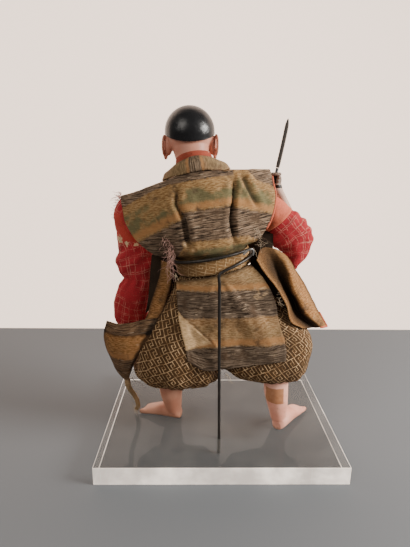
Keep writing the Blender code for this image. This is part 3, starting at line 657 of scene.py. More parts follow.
BAND_TONES = {
    "vest": ((0.20, 0.10, 0.034), (0.42, 0.26, 0.115), (0.018, 0.010, 0.006), (0.27, 0.18, 0.115), 0.9),
    "tail": ((0.20, 0.10, 0.038), (0.40, 0.25, 0.125), (0.032, 0.019, 0.011), (0.20, 0.14, 0.095), 0.2),
    "flap": ((0.20, 0.082, 0.02), (0.48, 0.235, 0.09), (0.045, 0.022, 0.011), (0.26, 0.15, 0.08), 0.15),
    "collar": ((0.17, 0.095, 0.045), (0.34, 0.21, 0.11), (0.045, 0.03, 0.019), (0.24, 0.165, 0.105), 0.3),
}
VEST_CLOTH, TAIL_CLOTH, FLAP_CLOTH, COLLAR_CLOTH = (
    banded_cloth(f"{name} cloth", *tones) for name, tones in BAND_TONES.items()
)
FRET_CLOTH = fret_cloth(
    "fret cloth", (0.03, 0.015, 0.007), (0.14, 0.074, 0.032), (0.36, 0.20, 0.09),
    (0.86, 0.58, 0.32), turn=-0.6,
)
BELT_CLOTH = fret_cloth(
    "belt cloth", (0.17, 0.09, 0.034), (0.34, 0.19, 0.08), (0.46, 0.29, 0.14), (0.78, 0.54, 0.30),
    size=0.0105, turn=0.75, thick=0.15,
)
RED_CLOTH = check_cloth("red check cloth")
SALMON_CLOTH = plain_cloth("salmon cloth", (0.50, 0.095, 0.05), (0.76, 0.22, 0.125))
COLLAR_RED = plain_cloth("faded red cloth", (0.22, 0.03, 0.018), (0.42, 0.10, 0.055))
# The lining is near-black: dark cloth, made this dark as painted shade in the gaps under the vest and beside
# the flaps.
SHADOWED_LINING_CLOTH = plain_cloth("dark lining cloth as painted shade", (0.010, 0.006, 0.004), (0.05, 0.03, 0.017))
CALF_PATCH = ((-0.0690, -0.0500), (0.030, 0.06), (0.0505, 0.0680))
# Lit and shaded copies of the flesh paint: the right leg's is lighter, as painted light, and the left leg's
# darker, as painted shade where that leg stands in shadow.
SKIN = painted_paper("flesh paint", (0.76, 0.40, 0.30), worn_box=CALF_PATCH)
SHADED_SKIN = painted_paper("flesh paint darkened as painted shade", (0.45, 0.225, 0.15))
OLD_SKIN = painted_paper("rubbed flesh paint", tone=(0.62, 0.45, 0.36), dark_above=0.2800)
LACQUER = lacquer("black lacquer")
WIRE_METAL = dull_metal("wire", (0.022, 0.019, 0.017), (0.085, 0.078, 0.072))
BLADE_METAL = dull_metal("blade", (0.035, 0.03, 0.026), (0.10, 0.085, 0.072), 0.5)
# Painted light: the edge faces glow and the upright side faces are painted lighter than the top and bottom.
CLEAR_FACE = clear_acrylic("clear acrylic", 0.30, (0.20, 0.19, 0.175))
GLOWING_ACRYLIC_EDGE = clear_acrylic("clear acrylic edge, painted glow", 0.88, (0.99, 0.87, 0.76), 1.6)
LIGHTER_ACRYLIC_SIDE = clear_acrylic("clear acrylic side, painted lighter", 0.25, (0.55, 0.52, 0.48))
MAROON_THREAD = thread_fibre("maroon thread", (0.50, 0.045, 0.045))
PINK_THREAD = thread_fibre("pink thread", (0.42, 0.235, 0.19))
BEIGE_THREAD = thread_fibre("beige thread", (0.60, 0.46, 0.32))
DARK_THREAD = thread_fibre("dark thread", (0.16, 0.10, 0.065))
HOOK_METAL = dull_metal("rubbed wire", (0.12, 0.115, 0.11), (0.36, 0.35, 0.33))


# The torn strip, the one free cord
STRIP_ROUTE = (
    (100.5, 29, 54.5), (101, 27, 47), (99.5, 22.5, 38), (97, 17, 29), (94.5, 13, 20),
    (93.5, 10.5, 11), (95.5, 8, 4.8),
)


def add_torn_strip():
    path = np.array([doll(*point) for point in curve(STRIP_ROUTE, 8)])
    ahead = np.gradient(path, axis=0)
    ahead /= np.linalg.norm(ahead, axis=1, keepdims=True)
    rings = []
    for n, point in enumerate(path):
        share = n / (len(path) - 1)
        across = np.cross(ahead[n], (0, 1, 0))
        across /= np.linalg.norm(across)
        deep = np.cross(ahead[n], across)
        turn = circle(28)
        wide = (2.9 - 0.6 * share) * MM
        form = 1 + 0.16 * np.cos(3 * turn + share * 9) + 0.05 * np.cos(9 * turn - share * 21)
        twist = turn + share * 4.5
        aside = (wide * form * np.cos(twist))[:, None] * across
        back = (wide * 0.8 * form * np.sin(twist))[:, None] * deep
        rings.append(point + aside + back)
    band = np.broadcast_to((1.6, -0.2), (len(path), 28, 2))
    piece = grid_mesh("torn_strip_cloth", np.array(rings), wrap=True, caps=True, band=band)
    finish(piece, COLLAR_CLOTH, "banded_cloth", "torn_strip")


add_torn_strip()


# The trousers
LEFT_PUFF = (
    (152, 22, 36, 28), (130, 33, 41, 30), (106, 43, 46, 31), (82, 46, 48, 31), (62, 47, 46, 29),
    (52.5, 46, 41.5, 24.5), (47.5, 44, 33, 18.5), (44.5, 43, 22, 12),
)
RIGHT_PUFF = (
    (154, -10, 37, 28), (132, -27, 47, 30), (110, -42, 53, 31), (91, -47.5, 52, 31),
    (73, -49, 48, 30), (62, -51, 43, 26.5), (57, -54, 35, 20), (54, -58, 25, 14),
)
WAIST_HALF = (36.5, 29.5)
BELT_LOW = -9
BELT_HIGH = 8


def puff_points(levels, tuck, seed, count=192):
    top, inset = tuck
    rings = []
    for c in (top, BELT_LOW - 2):
        centre = torso(0, 0, c)
        across = torso(WAIST_HALF[0] - inset, 0, c) - centre
        rings.append(ring(centre, across, np.array([0, (WAIST_HALF[1] - inset) * MM, 0]), count))
    turn = circle(count)
    for z, x, half, deep in levels:
        gather = 2.4 * min(1, abs(z - 95) / 45)
        swell = 1 + gather / half * np.cos(8 * turn)
        across = half * swell * power(np.cos(turn), 0.92)
        back = deep * swell * power(np.sin(turn), 0.92)
        rings.append(np.stack([x + across, WAIST[1] + back, np.full(count, z + FOOT_TOP)], axis=-1) * MM)
    points = np.concatenate([rings[:1], curve(rings[1:], 9)])
    out = normals(points, True)
    height = points[..., 2] / MM - FOOT_TOP
    wobble = rough(points, 0.03, seed)
    pleat = np.cos(15 * turn[None] + 5 * wobble) * ramp(height, 118, 40)
    cuff = np.cos(23 * turn[None] + 4 * wobble) * ramp(height, 70, -22)
    relief = 1.0 * pleat + 0.65 * cuff
    relief += 1.5 * rough(points, 0.024, seed + 1) + 0.5 * rough(points, 0.008, seed + 2)
    relief *= np.clip((np.arange(len(points)) - 1) / 4, 0, 1)[:, None]
    return points + out * relief[..., None] * MM - out * 0.4 * MM


def add_trousers():
    legs = []
    for levels, tuck, seed in ((LEFT_PUFF, (3.6, 1.1), 3), (RIGHT_PUFF, (2.4, 1.6), 7)):
        points = puff_points(levels, tuck, seed)
        legs.append(closed_mesh("leg", points))
    obj = merged("trousers_cloth", legs)
    finish(obj, FRET_CLOTH, "fret_cloth", "trousers")
    return obj


def add_belt():
    rings = []
    for c in np.linspace(BELT_LOW + 0.3, BELT_HIGH - 0.2, 10):
        swell = 0.9 + 0.5 * math.cos((c + 0.5) / 8.5 * 1.4)
        centre = torso(0, 0, c)
        across = torso(WAIST_HALF[0] + swell, 0, c) - centre
        rings.append(ring(centre, across, np.array([0, (WAIST_HALF[1] + swell) * MM, 0]), 200))
    points = np.array(rings)
    points = pushed(points, 0.35 * rough(points, 0.012, 21), True)
    obj = grid_mesh("belt_cloth", points, wrap=True)
    thicken(obj, 1.1 * MM)
    finish(obj, BELT_CLOTH, "fret_cloth", "belt")


# The vest
VEST_RINGS = (
    (4.6, 35.5, 0, 26.5, 26.5, 0, 0, 1.0), (10.0, 36, 0, 27, 27, 0, 0, 1.0),
    (11.0, 47, 1.0, 29, 2.5, 0, 5, 0.85), (16, 55, 2.5, 30, 2.5, 0, 7, 0.85),
    (32, 68.5, 3.5, 30, 3, 0, 4, 0.85), (50, 76.5, 4, 29, 7, 0, -3, 0.8),
)
SHOULDER_RINGS = (
    (-15, 77, 4.5, 26, 9, 0, -7, 0.8), (-5, 76.8, 4.5, 23.5, 7.5, -0.5, -8, 0.8),
    (-0.6, 76.2, 4.5, 19.6, 5.2, -0.5, -8, 0.8), (0.2, 75.4, 4.5, 17, 2.6, -0.5, -8, 0.8),
)
NECK_TOP = 89.5
SHOULDER_TOP = 84.5
SHOULDER_TIP = 78


def shoulder_line(a):
    out = np.abs(a - 4.5)
    near = NECK_TOP - (NECK_TOP - SHOULDER_TOP) * (out / 30) ** 2
    far = SHOULDER_TOP - (SHOULDER_TOP - SHOULDER_TIP) * (out - 30) / 47
    return np.where(out < 30, near, far)


def left_dart(c):
    return np.interp(c, (8, 29, 47, 63, 75), (19, 19.4, 19, 24.5, 21.5))


def right_dart(c):
    return np.interp(c, (8, 40, 67, 78), (-24, -23.8, -31, -33))


def vest_ring(level, half, shift, deep, edge, mid, side, square, hang, count=288):
    turn = circle(count)
    back = np.where(turn < math.pi, 1, -1)
    part = (turn % math.pi) / math.pi
    u = back * (0.55 * np.cos(math.pi * part) + 0.45 * (1 - 2 * part))
    thick = edge + (deep - edge) * (1 - np.abs(u) ** 2.2)
    a = shift + half * u
    c = level + shoulder_line(a) if hang else np.full(count, float(level))
    b = mid + (side - mid) * u * u + back * thick * np.maximum(0, 1 - u * u) ** (square / 2)
    length = np.sin(math.pi * ramp(c, 8, 68)) ** 0.6
    fold = 3.4 * gauss(a - left_dart(c), 4.5) + 3.4 * gauss(a - right_dart(c), 4.5)
    b = b - np.where(back > 0, length * fold * (1 - np.abs(u) ** 4), 0)
    return np.stack([a, b, c], axis=-1)


# Down the back, where each band of the vest's cloth ends, left of the left dart, between the darts
# and right of the right dart: places across, then heights
BAND_LINES = (
    (
        ((20, 81.6), (34.5, 81.5), (54.6, 75.4), (77.9, 67.2)),
        ((-26, 81), (8, 81.7), (24, 81.6)),
        ((-76, 58), (-67.4, 64), (-54.3, 71.2), (-45.8, 85.9), (-38, 86), (-30, 81.5)),
    ),
    (
        ((20, 49), (27, 47.3), (48.5, 39.5), (71.6, 30.7), (78, 28)),
        ((-24, 53.5), (-15.3, 53.9), (18.5, 55.2), (24, 55.4)),
        ((-76, 33), (-66.6, 36), (-31.5, 49.8), (-24, 52)),
    ),
    (
        ((20, 27), (30, 16), (40, 5), (78, -10)),
        ((-24, 22.4), (-10.2, 23.8), (19.9, 26.6)),
        ((-76, 4), (-50, 12), (-37, 20.7), (-24, 22.2)),
    ),
    (
        ((20, -6), (78, -34)), ((-24, -6), (20, -6)), ((-76, -10), (-24, -6)),
    ),
)


def vest_band(a, c):
    """How many band edges lie above a point, with its share of the way to the next one."""
    top = shoulder_line(a)
    edges = [top + 6]
    for left, middle, right in BAND_LINES:
        here = np.where(
            a > left_dart(c),
            np.interp(a, *zip(*left)),
            np.where(a < right_dart(c), np.interp(a, *zip(*right)), np.interp(a, *zip(*middle))),
        )
        edges.append(np.minimum(here, edges[-1] - 0.5))
    out = np.zeros_like(a)
    for n, (high, low) in enumerate(zip(edges, edges[1:])):
        share = np.clip((high - c) / (high - low), 0, 1)
        out = np.where(c <= high, n + share, out)
    return out


def add_vest():
    flat = [vest_ring(*row, False) for row in VEST_RINGS]
    top = [vest_ring(*row, True) for row in SHOULDER_RINGS]
    rows = np.concatenate([flat[:2], curve(flat[2:] + top[:2], 16), top[2:]])
    a, b, c = rows[..., 0], rows[..., 1], rows[..., 2]
    x = WAIST[0] + a * math.cos(LEAN) + c * math.sin(LEAN)
    z = WAIST[2] + FOOT_TOP - a * math.sin(LEAN) + c * math.cos(LEAN)
    points = np.stack([x, WAIST[1] + b, z], axis=-1) * MM
    out = normals(points, True)
    count = points.shape[1]
    back = (np.arange(count) < count // 2)[None]
    half = count // 2
    place = np.arange(count) % half
    edge = np.minimum(place, half - place) / (count // 4)
    free = np.clip(edge * 6, 0, 1)[None] * ramp(c, 11, 6)
    length = ramp(c, 12, 14) * ramp(c, 80, -12)
    crease = np.zeros_like(a)
    for line in (left_dart(c), right_dart(c)):
        crease -= 3.2 * np.exp(-np.abs(a - line) / 1.5) * length
        crease += 1.5 * gauss(a - line - 5.5, 3.2) * length + 1.3 * gauss(a - line + 5, 3.0) * length
    second = -43 - 0.35 * (72 - c)
    pucker = ramp(c, 44, 8) * ramp(c, 82, -8)
    sides = 1.7 * gauss(a - second + 6, 3.2) + 1.2 * gauss(a - second - 5, 2.6)
    crease += pucker * (sides - 2.4 * gauss(a - second, 2.4))
    crease += 1.2 * gauss(c - 57, 3.0) * gauss(a + 30, 9) - 1.0 * gauss(c - 50, 2.4) * gauss(a + 32, 9)
    crease += 0.9 * np.sin(c * 0.42 + 0.06 * a) * gauss(a - 2, 14) * ramp(c, 42, -22)
    soft = 1.5 * rough(points, 0.026, 11) + 0.6 * rough(points, 0.010, 12, (1, 1, 2.2))
    soft += 0.25 * rough(points, 0.0045, 13, (1, 1, 2.5))
    relief = (np.where(back, crease, 0) + soft) * free
    points = points + out * relief[..., None] * MM
    # Painted shade: near-black along the two darts, the second crease and the line under the collar, and
    # darker at the bottom and on the doll's left low down, where the cloth stands in shadow. Three spots
    # beside the left dart's lower end get negative values and are painted paler.
    shade = 0.95 * np.exp(-np.abs(a - left_dart(c)) / 1.3) * length
    shade = np.maximum(shade, 0.95 * np.exp(-np.abs(a - right_dart(c)) / 1.5) * length)
    shade = np.maximum(shade, 0.8 * pucker * gauss(a - second, 2.0))
    shade = np.maximum(shade, 0.9 * gauss(c - shoulder_line(a) + 2.0, 1.7) * (np.abs(a - 4.5) < 33))
    shade = np.maximum(shade, 0.55 * gauss(c - 9, 4.5) + 0.5 * gauss(a - 48, 17) * gauss(c - 20, 13))
    shade = shade * back
    for place, size in (((38, 49, 208), 2.4), ((34, 50, 205), 2.6), ((30, 50, 201.5), 2.2)):
        gap = np.linalg.norm((points - doll(*place)) * (1, 0.3, 1), axis=-1) / MM
        shade = shade - 0.9 * gauss(gap, size)
    band = np.stack([vest_band(a, c), shade], axis=-1)
    weave = np.stack([a, c], axis=-1) * MM
    weave = np.concatenate([weave, weave[:, :1]], axis=1)
    obj = closed_mesh("vest_cloth", points, band=band, uv=weave)
    finish(obj, VEST_CLOTH, "banded_cloth", "vest")
    level = c[:, 0]
    for name, column, low, material in (
        ("right_armhole_piping", count // 2, 22, SALMON_CLOTH),
        ("left_armhole_piping", 0, 40, MAROON_THREAD),
    ):
        rows = np.flatnonzero((level > low) & (np.arange(len(level)) < len(level) - 2))
        line = points[rows, column]
        line = line + (line - points[rows].mean(axis=1)) * 0.006
        piping = tube(name, curve(line[::6], 3), 0.95 * MM, 10)
        finish(piping, material, "salmon_cloth")


# The sleeves
LEFT_SLEEVE = (
    (82, 6, 239, 7.5, 8), (97, 4, 241, 9, 10), (104, 2, 230, 8.5, 12), (100, 1, 214, 11, 14),
    (93.5, 0, 197, 18, 15.5), (92.5, 0, 181, 21, 15.5), (90.5, 1, 167, 17, 13),
    (90, 2, 159, 15.2, 11.5), (94.5, 1, 149, 18, 13.5), (98, 0, 134, 19.5, 14),
    (100, -1, 121, 19.4, 13.5), (101.5, -3, 112.5, 18, 12), (102, -4, 108, 15, 10),
)
RIGHT_SLEEVE = (
    (-36, 8, 247, 11, 11), (-45, 6, 240, 15, 14.5), (-52, 5, 233, 17.5, 16), (-58, 5, 226, 18, 16),
    (-66.5, 4, 217, 21.5, 17), (-76, 3, 206, 21.5, 15), (-78, 3, 193, 14.5, 10.5),
    (-77, 3, 182, 8.5, 7.5), (-78.5, 3, 173.5, 4, 4),
)


def add_sleeves():
    count = 128
    points = curve(limb_rings(LEFT_SLEEVE, count), 9)
    out = normals(points, True)
    x, z = in_mm(points)
    row = np.arange(len(points))[:, None]
    free = np.clip(row / 10, 0, 1) * np.clip((len(points) - 1 - row) / 5, 0, 1)
    slant = z + 0.75 * (x - 90)
    folds = 0.8 * np.sin(slant * 0.36 + 3 * rough(points, 0.04, 31)) * gauss(z - 182, 16)
    around = np.arange(count)[None] / count * 2 * math.pi
    folds += 0.8 * np.sin(around * 9 + 4 * rough(points, 0.03, 32)) * gauss(z - 159, 7)
    folds += 0.5 * np.sin(around * 8 + 3 * rough(points, 0.03, 35)) * gauss(z - 112, 7)
    folds += 2.4 * rough(points, 0.026, 33) + 0.9 * rough(points, 0.011, 36) + 0.3 * rough(points, 0.006, 34)
    points = points + out * (folds * free)[..., None] * MM - out * 0.3 * MM
    plain = ramp(z, 199, 8) * ramp(z, 238, -8) * np.clip((points[..., 1] / MM + 4) / 8, 0, 1)
    plain *= np.clip((x - 72 + (z - 200) * 0.3) / 8, 0, 1)
    torn = np.zeros_like(z)
    holes = (((104, 8, 206), 5.0), ((98, 11, 202), 3.6), ((88, 15, 201.5), 3.4), ((85.5, 13, 123.5), 3.0))
    for hole, size in holes:
        gap = np.linalg.norm(points - doll(*hole), axis=-1) / MM
        torn = np.maximum(torn, gauss(gap, size))
    obj = closed_mesh("left_sleeve_cloth", points, band=np.stack([plain, torn], axis=-1))
    finish(obj, RED_CLOTH, "red_check_cloth", "left_sleeve")

    rings = limb_rings(curve(RIGHT_SLEEVE, 2), count)
    seam = 6
    band_points = curve(rings[: seam + 1], 6)
    out = normals(band_points, True)
    soft = 0.8 * rough(band_points, 0.02, 41) + 0.25 * rough(band_points, 0.006, 42)
    row = np.arange(len(band_points))[:, None]
    free = np.clip((len(band_points) - 1 - row) / 5, 0, 1)
    roll = 0.8 * gauss(len(band_points) - 3 - row, 2.5)
    band_points = band_points + out * (soft * free + roll - 0.3)[..., None] * MM
    obj = closed_mesh("right_sleeve_band_cloth", band_points)
    finish(obj, SALMON_CLOTH, "salmon_cloth", "right_sleeve_band")

    low = rings[seam:].copy()
    low[0] += (low[1].mean(axis=0) - low[0].mean(axis=0)) * 0.06
    points = curve(low, 8)
    out = normals(points, True)
    z = points[..., 2] / MM - FOOT_TOP
    row = np.arange(len(points))[:, None]
    free = np.clip(row / 6, 0, 1) * np.clip((len(points) - 1 - row) / 8, 0, 1)
    along = points[..., 0] / MM * 0.7 + z
    folds = 0.8 * np.sin(along * 0.42 + 3 * rough(points, 0.03, 51)) + 2.2 * rough(points, 0.022, 52)
    folds += 0.9 * rough(points, 0.010, 54) + 0.3 * rough(points, 0.006, 53)
    points = points + out * (folds * free)[..., None] * MM - out * 0.3 * MM
    band = np.zeros((*z.shape, 2))
    obj = closed_mesh("right_sleeve_cloth", points, band=band)
    finish(obj, RED_CLOTH, "red_check_cloth", "right_sleeve")


# Head, hands and legs
CAP_CENTRE = (33.9, 5, 312.6)
CAP_RADIUS = 24.6
CAP_WALL = 1.2
CAP_TIP = math.radians(22)
SKULL_RADIUS = CAP_RADIUS - CAP_WALL - 0.85


def bump(across, wide, down, tall):
    return math.exp(-((across / wide) ** 2) - (down / tall) ** 2)


NECK = (
    (33, 8, 299, 18, 16.5), (31, 10.5, 288, 16.4, 15.6), (28, 12, 276, 15, 15),
    (24, 14, 262, 13.5, 13.5),
)


def face_form(point):
    """A ball turned into a head: a jaw that narrows, a brow, a nose, lips and eye sockets."""
    x, y, z = point
    low = max(0.0, -z / SKULL_RADIUS)
    z *= 1 + 0.62 * low**1.5
    x *= 1 - 0.17 * low**2.4
    y *= 1 - (0.30 if y > 0 else 0.06) * low**2
    down = -z / SKULL_RADIUS
    if y < 0:
        y -= 4.2 * bump(x, 2.3, down - 0.74, 0.16) + 1.5 * bump(x, 2.0, down - 0.48, 0.25)
        y -= 1.2 * bump(abs(x) - 3.0, 1.6, down - 0.80, 0.09)
        y -= 1.3 * bump(x, 4.6, down - 1.02, 0.05) + 1.2 * bump(x, 3.8, down - 1.13, 0.05)
        y += 0.9 * bump(x, 4.4, down - 1.075, 0.022)
        y -= 2.2 * bump(x, 6.0, down - 1.50, 0.20)
        y += 1.7 * bump(abs(x) - 8.5, 4.2, down - 0.40, 0.12)
        y -= 1.1 * bump(abs(x) - 8.5, 3.0, down - 0.43, 0.06)
        y += 0.5 * bump(abs(x) - 8.5, 3.2, down - 0.45, 0.015)
        y -= 1.0 * bump(abs(x) - 9.0, 5.0, down - 0.22, 0.06)
        y -= 0.9 * bump(abs(x) - 12, 5.5, down - 0.85, 0.30)
    return x, y, z


def ear_form(side):
    """A long-lobed ear: a shell with a rolled rim and a hollow in front."""
    centre = np.array(CAP_CENTRE) + ((22.6, -0.5, -14) if side > 0 else (-24.0, -0.5, -12.8))
    parts = [ball(centre + (-side * 1.2, 0.3, 0.5), (4.6, 4.6, 9.4), 3)]
    rim = []
    for turn in np.linspace(-2.5, 1.7, 16):
        back = 5.8 * math.cos(turn)
        rim.append(centre + (side * (2.2 + 0.24 * max(0, back)), back, 9.2 * math.sin(-turn) + 0.8))
    parts += finger(rim, 1.35)
    parts.append(ball(centre + (side * 1.4, -0.2, -9.4), (2.0, 3.2, 3.4), 3))
    return parts


def add_head():
    form = bmesh.new()
    bmesh.ops.create_uvsphere(form, u_segments=160, v_segments=120, radius=SKULL_RADIUS)
    for vert in form.verts:
        vert.co = doll(*(np.array(CAP_CENTRE) + face_form(vert.co)))
    skull = formed("skull", form)
    neck = closed_mesh("neck", limb_rings(NECK, 48))
    obj = fuse("head_papier_mache", [skull, neck, *ear_form(1), *ear_form(-1)], 0.6 * MM, 3)
    finish(obj, face_paint(), "painted_paper", "head")


def face_paint():
    """The flesh paint with thin brows, lowered eyes and pale lips."""
    # The head's tone is darker than the right leg's flesh paint, partly as painted shade on the head.
    material = painted_paper("face paint", tone=(0.56, 0.27, 0.19))
    s = Shader.__new__(Shader)
    s.material = material
    s.tree = material.node_tree
    s.surface = s.tree.nodes["Principled BSDF"]
    colour = s.surface.inputs["Base Color"].links[0].from_socket
    x, y, z = s.split(s.place())
    front = s.step(y, -0.002, -0.006)
    aside = s.gap(x, CAP_CENTRE[0] * MM)
    top = (CAP_CENTRE[2] + FOOT_TOP) * MM
    marks = (
        (0.0088, -0.0036, 0.0056, 0.0009, -28, (0.03, 0.018, 0.012)),
        (0.0086, -0.0094, 0.0046, 0.0007, -30, (0.02, 0.012, 0.01)),
        (0.0086, -0.0102, 0.0016, 0.0012, 0, (0.02, 0.012, 0.01)),
        (0.0, -0.0243, 0.0052, 0.0016, 22, (0.42, 0.11, 0.075)),
    )
    for middle, height, wide, tall, arch, tone in marks:
        dx = s.sub(aside, middle)
        bow = s.mul(s.mul(dx, dx), float(arch))
        dz = s.sub(s.sub(z, top + height), bow)
        reach = s.math("POWER", s.math("ABSOLUTE", s.math("DIVIDE", dx, wide)), 2.0)
        tallness = s.math("POWER", s.math("ABSOLUTE", s.math("DIVIDE", dz, tall)), 2.0)
        inside = s.mul(s.step(s.add(reach, tallness), 1.15, 0.8), front)
        colour = s.mix(inside, colour, tone)
    s.set(Base_Color=colour)
    return material


def turned(name, profile, base, axis, sides=96):
    """A turned form through pairs of radius and height in millimetres, both ends on its axis."""
    turn = circle(sides)
    spin = np.array(Vector((0, 0, 1)).rotation_difference(Vector(axis)).to_matrix())
    rings = []
    for radius, height in profile:
        radius = max(radius, 0.01)
        local = np.stack([radius * np.cos(turn), radius * np.sin(turn), np.full(sides, height)], axis=-1)
        rings.append(local @ spin.T * MM + base)
    return closed_mesh(name, np.array(rings))


def bowl(radius, turns):
    return [(radius * math.sin(turn), radius * math.cos(turn)) for turn in turns]


def add_cap():
    outer = bowl(CAP_RADIUS, np.linspace(0, math.pi / 2, 40))
    inner_radius = CAP_RADIUS - CAP_WALL
    inner = bowl(inner_radius, np.linspace(math.pi / 2, 0, 24))
    rim = [(CAP_RADIUS + 0.12, -0.3), (CAP_RADIUS + 0.1, -0.7), (CAP_RADIUS - 0.4, -1.0)]
    rim.append((inner_radius + 0.1, -0.9))
    axis = (0, math.sin(CAP_TIP), math.cos(CAP_TIP))
    obj = turned("lacquered_cap", outer + rim + inner, doll(*CAP_CENTRE), axis)
    finish(obj, LACQUER, "black_lacquer", "black_cap")


GRIP_MIDDLE = np.array((-57.8, -24, 267))
BLADE_LEAN = np.array((-0.182, 0, 0.983))
BLADE_LEAN /= np.linalg.norm(BLADE_LEAN)


def add_hands():
    arm = (
        (-74, -8, 218, 7, 7), (-71.5, -14, 232, 6.4, 6.6), (-67.5, -20, 243, 5.6, 6),
        (-63, -26, 254, 5.2, 5.4), (-60.5, -28, 261, 5.6, 5.4),
    )
    rings = curve(limb_rings(arm, 40), 5)
    parts = [closed_mesh("arm", rings)]
    parts.append(ball((-60.2, -28.6, 266), (6.0, 5.2, 8.0)))
    for n in range(4):
        middle = GRIP_MIDDLE + BLADE_LEAN * (-5.6 + 3.7 * n)
        bend = []
        for turn in np.linspace(2.6, 6.6, 8):
            bend.append(middle + np.array((math.cos(turn) * 4.1, math.sin(turn) * 4.1, 0)))
        parts += finger(bend, 1.95)
    thumb = [GRIP_MIDDLE + (-5, -2, 3), GRIP_MIDDLE + (-3, 3.4, 5), GRIP_MIDDLE + (0.5, 4.4, 5.5)]
    parts += finger(thumb, 1.9)
    obj = fuse("right_hand_papier_mache", parts, 0.5 * MM, 3)
    finish(obj, OLD_SKIN, "painted_paper", "right_hand")

    arm = ((98, 0, 130, 6.5, 6.5), (93, -8, 121, 6, 6), (88, -15, 114, 6.0, 6.0), (85, -19, 109.5, 6.4, 5.4))
    rings = curve(limb_rings(arm, 40), 5)
    parts = [closed_mesh("arm", rings), ball((83.6, -20.5, 107.5), (5.6, 6.4, 6.6))]
    for n in range(4):
        start = np.array((86.5 - 2.9 * n, -24.5 + 0.8 * n, 107.5 - 1.1 * n))
        curl = ((0, 2, 3), (0, 0, 0), (-0.4, 0.6, -3.6), (-1.0, 3.6, -6.0), (-1.0, 5.6, -5.2))
        bend = [start + joint for joint in curl]
        parts += finger(bend, 1.8)
    parts += finger([(79.8, -18, 110), (77.8, -19.5, 106.5), (77.5, -20.5, 103.2)], 1.8)
    obj = fuse("left_hand_papier_mache", parts, 0.5 * MM, 3)
    finish(obj, SKIN, "painted_paper", "left_hand")


CALVES = {
    "left": (
        (54.8, 15, 58, 12.8, 11.8), (54.8, 15, 36, 12.8, 12), (53.5, 15, 24, 11.2, 11.5),
        (51.5, 15, 9, 8.5, 9.5),
    ),
    "right": (
        (-61.8, 25, 66, 13, 12), (-62.3, 27, 42, 13.2, 12.2), (-64, 30, 28, 11.4, 11),
        (-66, 33, 10, 8.5, 9),
    ),
}
FOOT_LINES = {"left": ((43.5, 17.5), (89, 3)), "right": ((-62.5, 40.5), (-98, -1))}
FOOT_SECTIONS = (
    (0, 4.5, 5), (0.08, 6.8, 7.8), (0.25, 7.6, 8.4), (0.5, 6.6, 8.6), (0.74, 4.3, 9.4),
    (0.86, 3.2, 9.0), (0.93, 2.4, 8.0),
)


def add_leg(side):
    heel, toe = (np.array(point, float) for point in FOOT_LINES[side])
    ahead = (toe - heel) / np.linalg.norm(toe - heel)
    right = np.array((ahead[1], -ahead[0], 0))
    rings = []
    for share, tall, wide in curve(FOOT_SECTIONS, 4):
        x, y = heel + (toe - heel) * share
        rings.append(ring(doll(x, y, tall + 0.5), np.array((0, 0, tall * MM)), right * wide * MM, 40, 0.85))
    parts = [closed_mesh("foot", np.array(rings))]
    parts.append(closed_mesh("calf", curve(limb_rings(CALVES[side], 48), 6)))
    inner = -1 if side == "left" else 1
    for n, (reach, radius) in enumerate(((1.0, 2.7), (1.0, 2.1), (0.97, 2.0), (0.93, 1.9), (0.88, 1.8))):
        aside = inner * (6.8 - 3.45 * n)
        start = heel + (toe - heel) * (reach - 0.16)
        end = heel + (toe - heel) * (reach - 0.035)
        shift = right[:2] * aside
        parts += finger([(*(start + shift), radius + 0.9), (*(end + shift), radius + 0.45)], radius)
    obj = fuse(f"{side}_leg_papier_mache", parts, 0.7 * MM, 3)
    for vert in obj.data.vertices:
        vert.co.z = max(vert.co.z, (FOOT_TOP + 0.3) * MM)
    # The left leg takes the flesh paint darkened as painted shade.
    finish(obj, SHADED_SKIN if side == "left" else SKIN, "painted_paper", f"{side}_leg")


# The sword
GRIP_PROFILE = (
    (0, 12), (1.5, 12), (1.6, 11.6), (1.6, -9.3), (3.7, -9.6), (4.0, -10.2), (4.0, -11.4),
    (3.7, -12), (0, -12),
)


def add_sword():
    base = doll(*GRIP_MIDDLE)
    grip = turned("sword_grip_lacquer", GRIP_PROFILE, base, BLADE_LEAN, 40)
    finish(grip, LACQUER, "black_lacquer", "sword_grip")
    across = np.cross((0, 1, 0), BLADE_LEAN)
    across /= np.linalg.norm(across)
    rings = []
    shape = ((0, 0.95), (0.1, 1), (0.3, 1), (0.6, 1), (0.85, 0.96), (0.93, 0.72), (0.98, 0.4), (1, 0.14))
    for share, wide in curve(shape, 4):
        centre = base + BLADE_LEAN * (12.4 + 50.5 * share) * MM + across * (0.9 * share**3 - 0.2 * share) * MM
        half = 2.1 * wide * MM
        rings.append(ring(centre, across * half, np.array((0, 0.6 * max(wide, 0.3) * MM, 0)), 16))
    blade = closed_mesh("sword_blade_metal", np.array(rings))
    finish(blade, BLADE_METAL, "blade", "sword_blade")


# The wire
WIRE_RING = (
    (18, -5.3), (40, -2.6), (66, -0.6), (90, 1), (135, 3), (180, 4.5), (225, 5.5), (270, 6.5),
    (300, 7.0), (330, 7.3), (360, 7.4), (390, 7.4), (415, 7.0), (428, 6.0),
)


WIRE_HOOK = (
    (-18, 51.5, 199.5), (-22.5, 50.5, 203.5), (-26, 49.5, 204.5), (-28, 48, 202),
    (-27.6, 47.5, 198),
)


# How far the wire's middle runs outside the waist, past the belt
WIRE_RADIUS = 1.5
WIRE_OUT = 3.1 + WIRE_RADIUS


def ring_point(degrees, height):
    turn = math.radians(degrees)
    across, deep = (half + WIRE_OUT for half in WAIST_HALF)
    return torso(-across * math.sin(turn), deep * math.cos(turn), height)


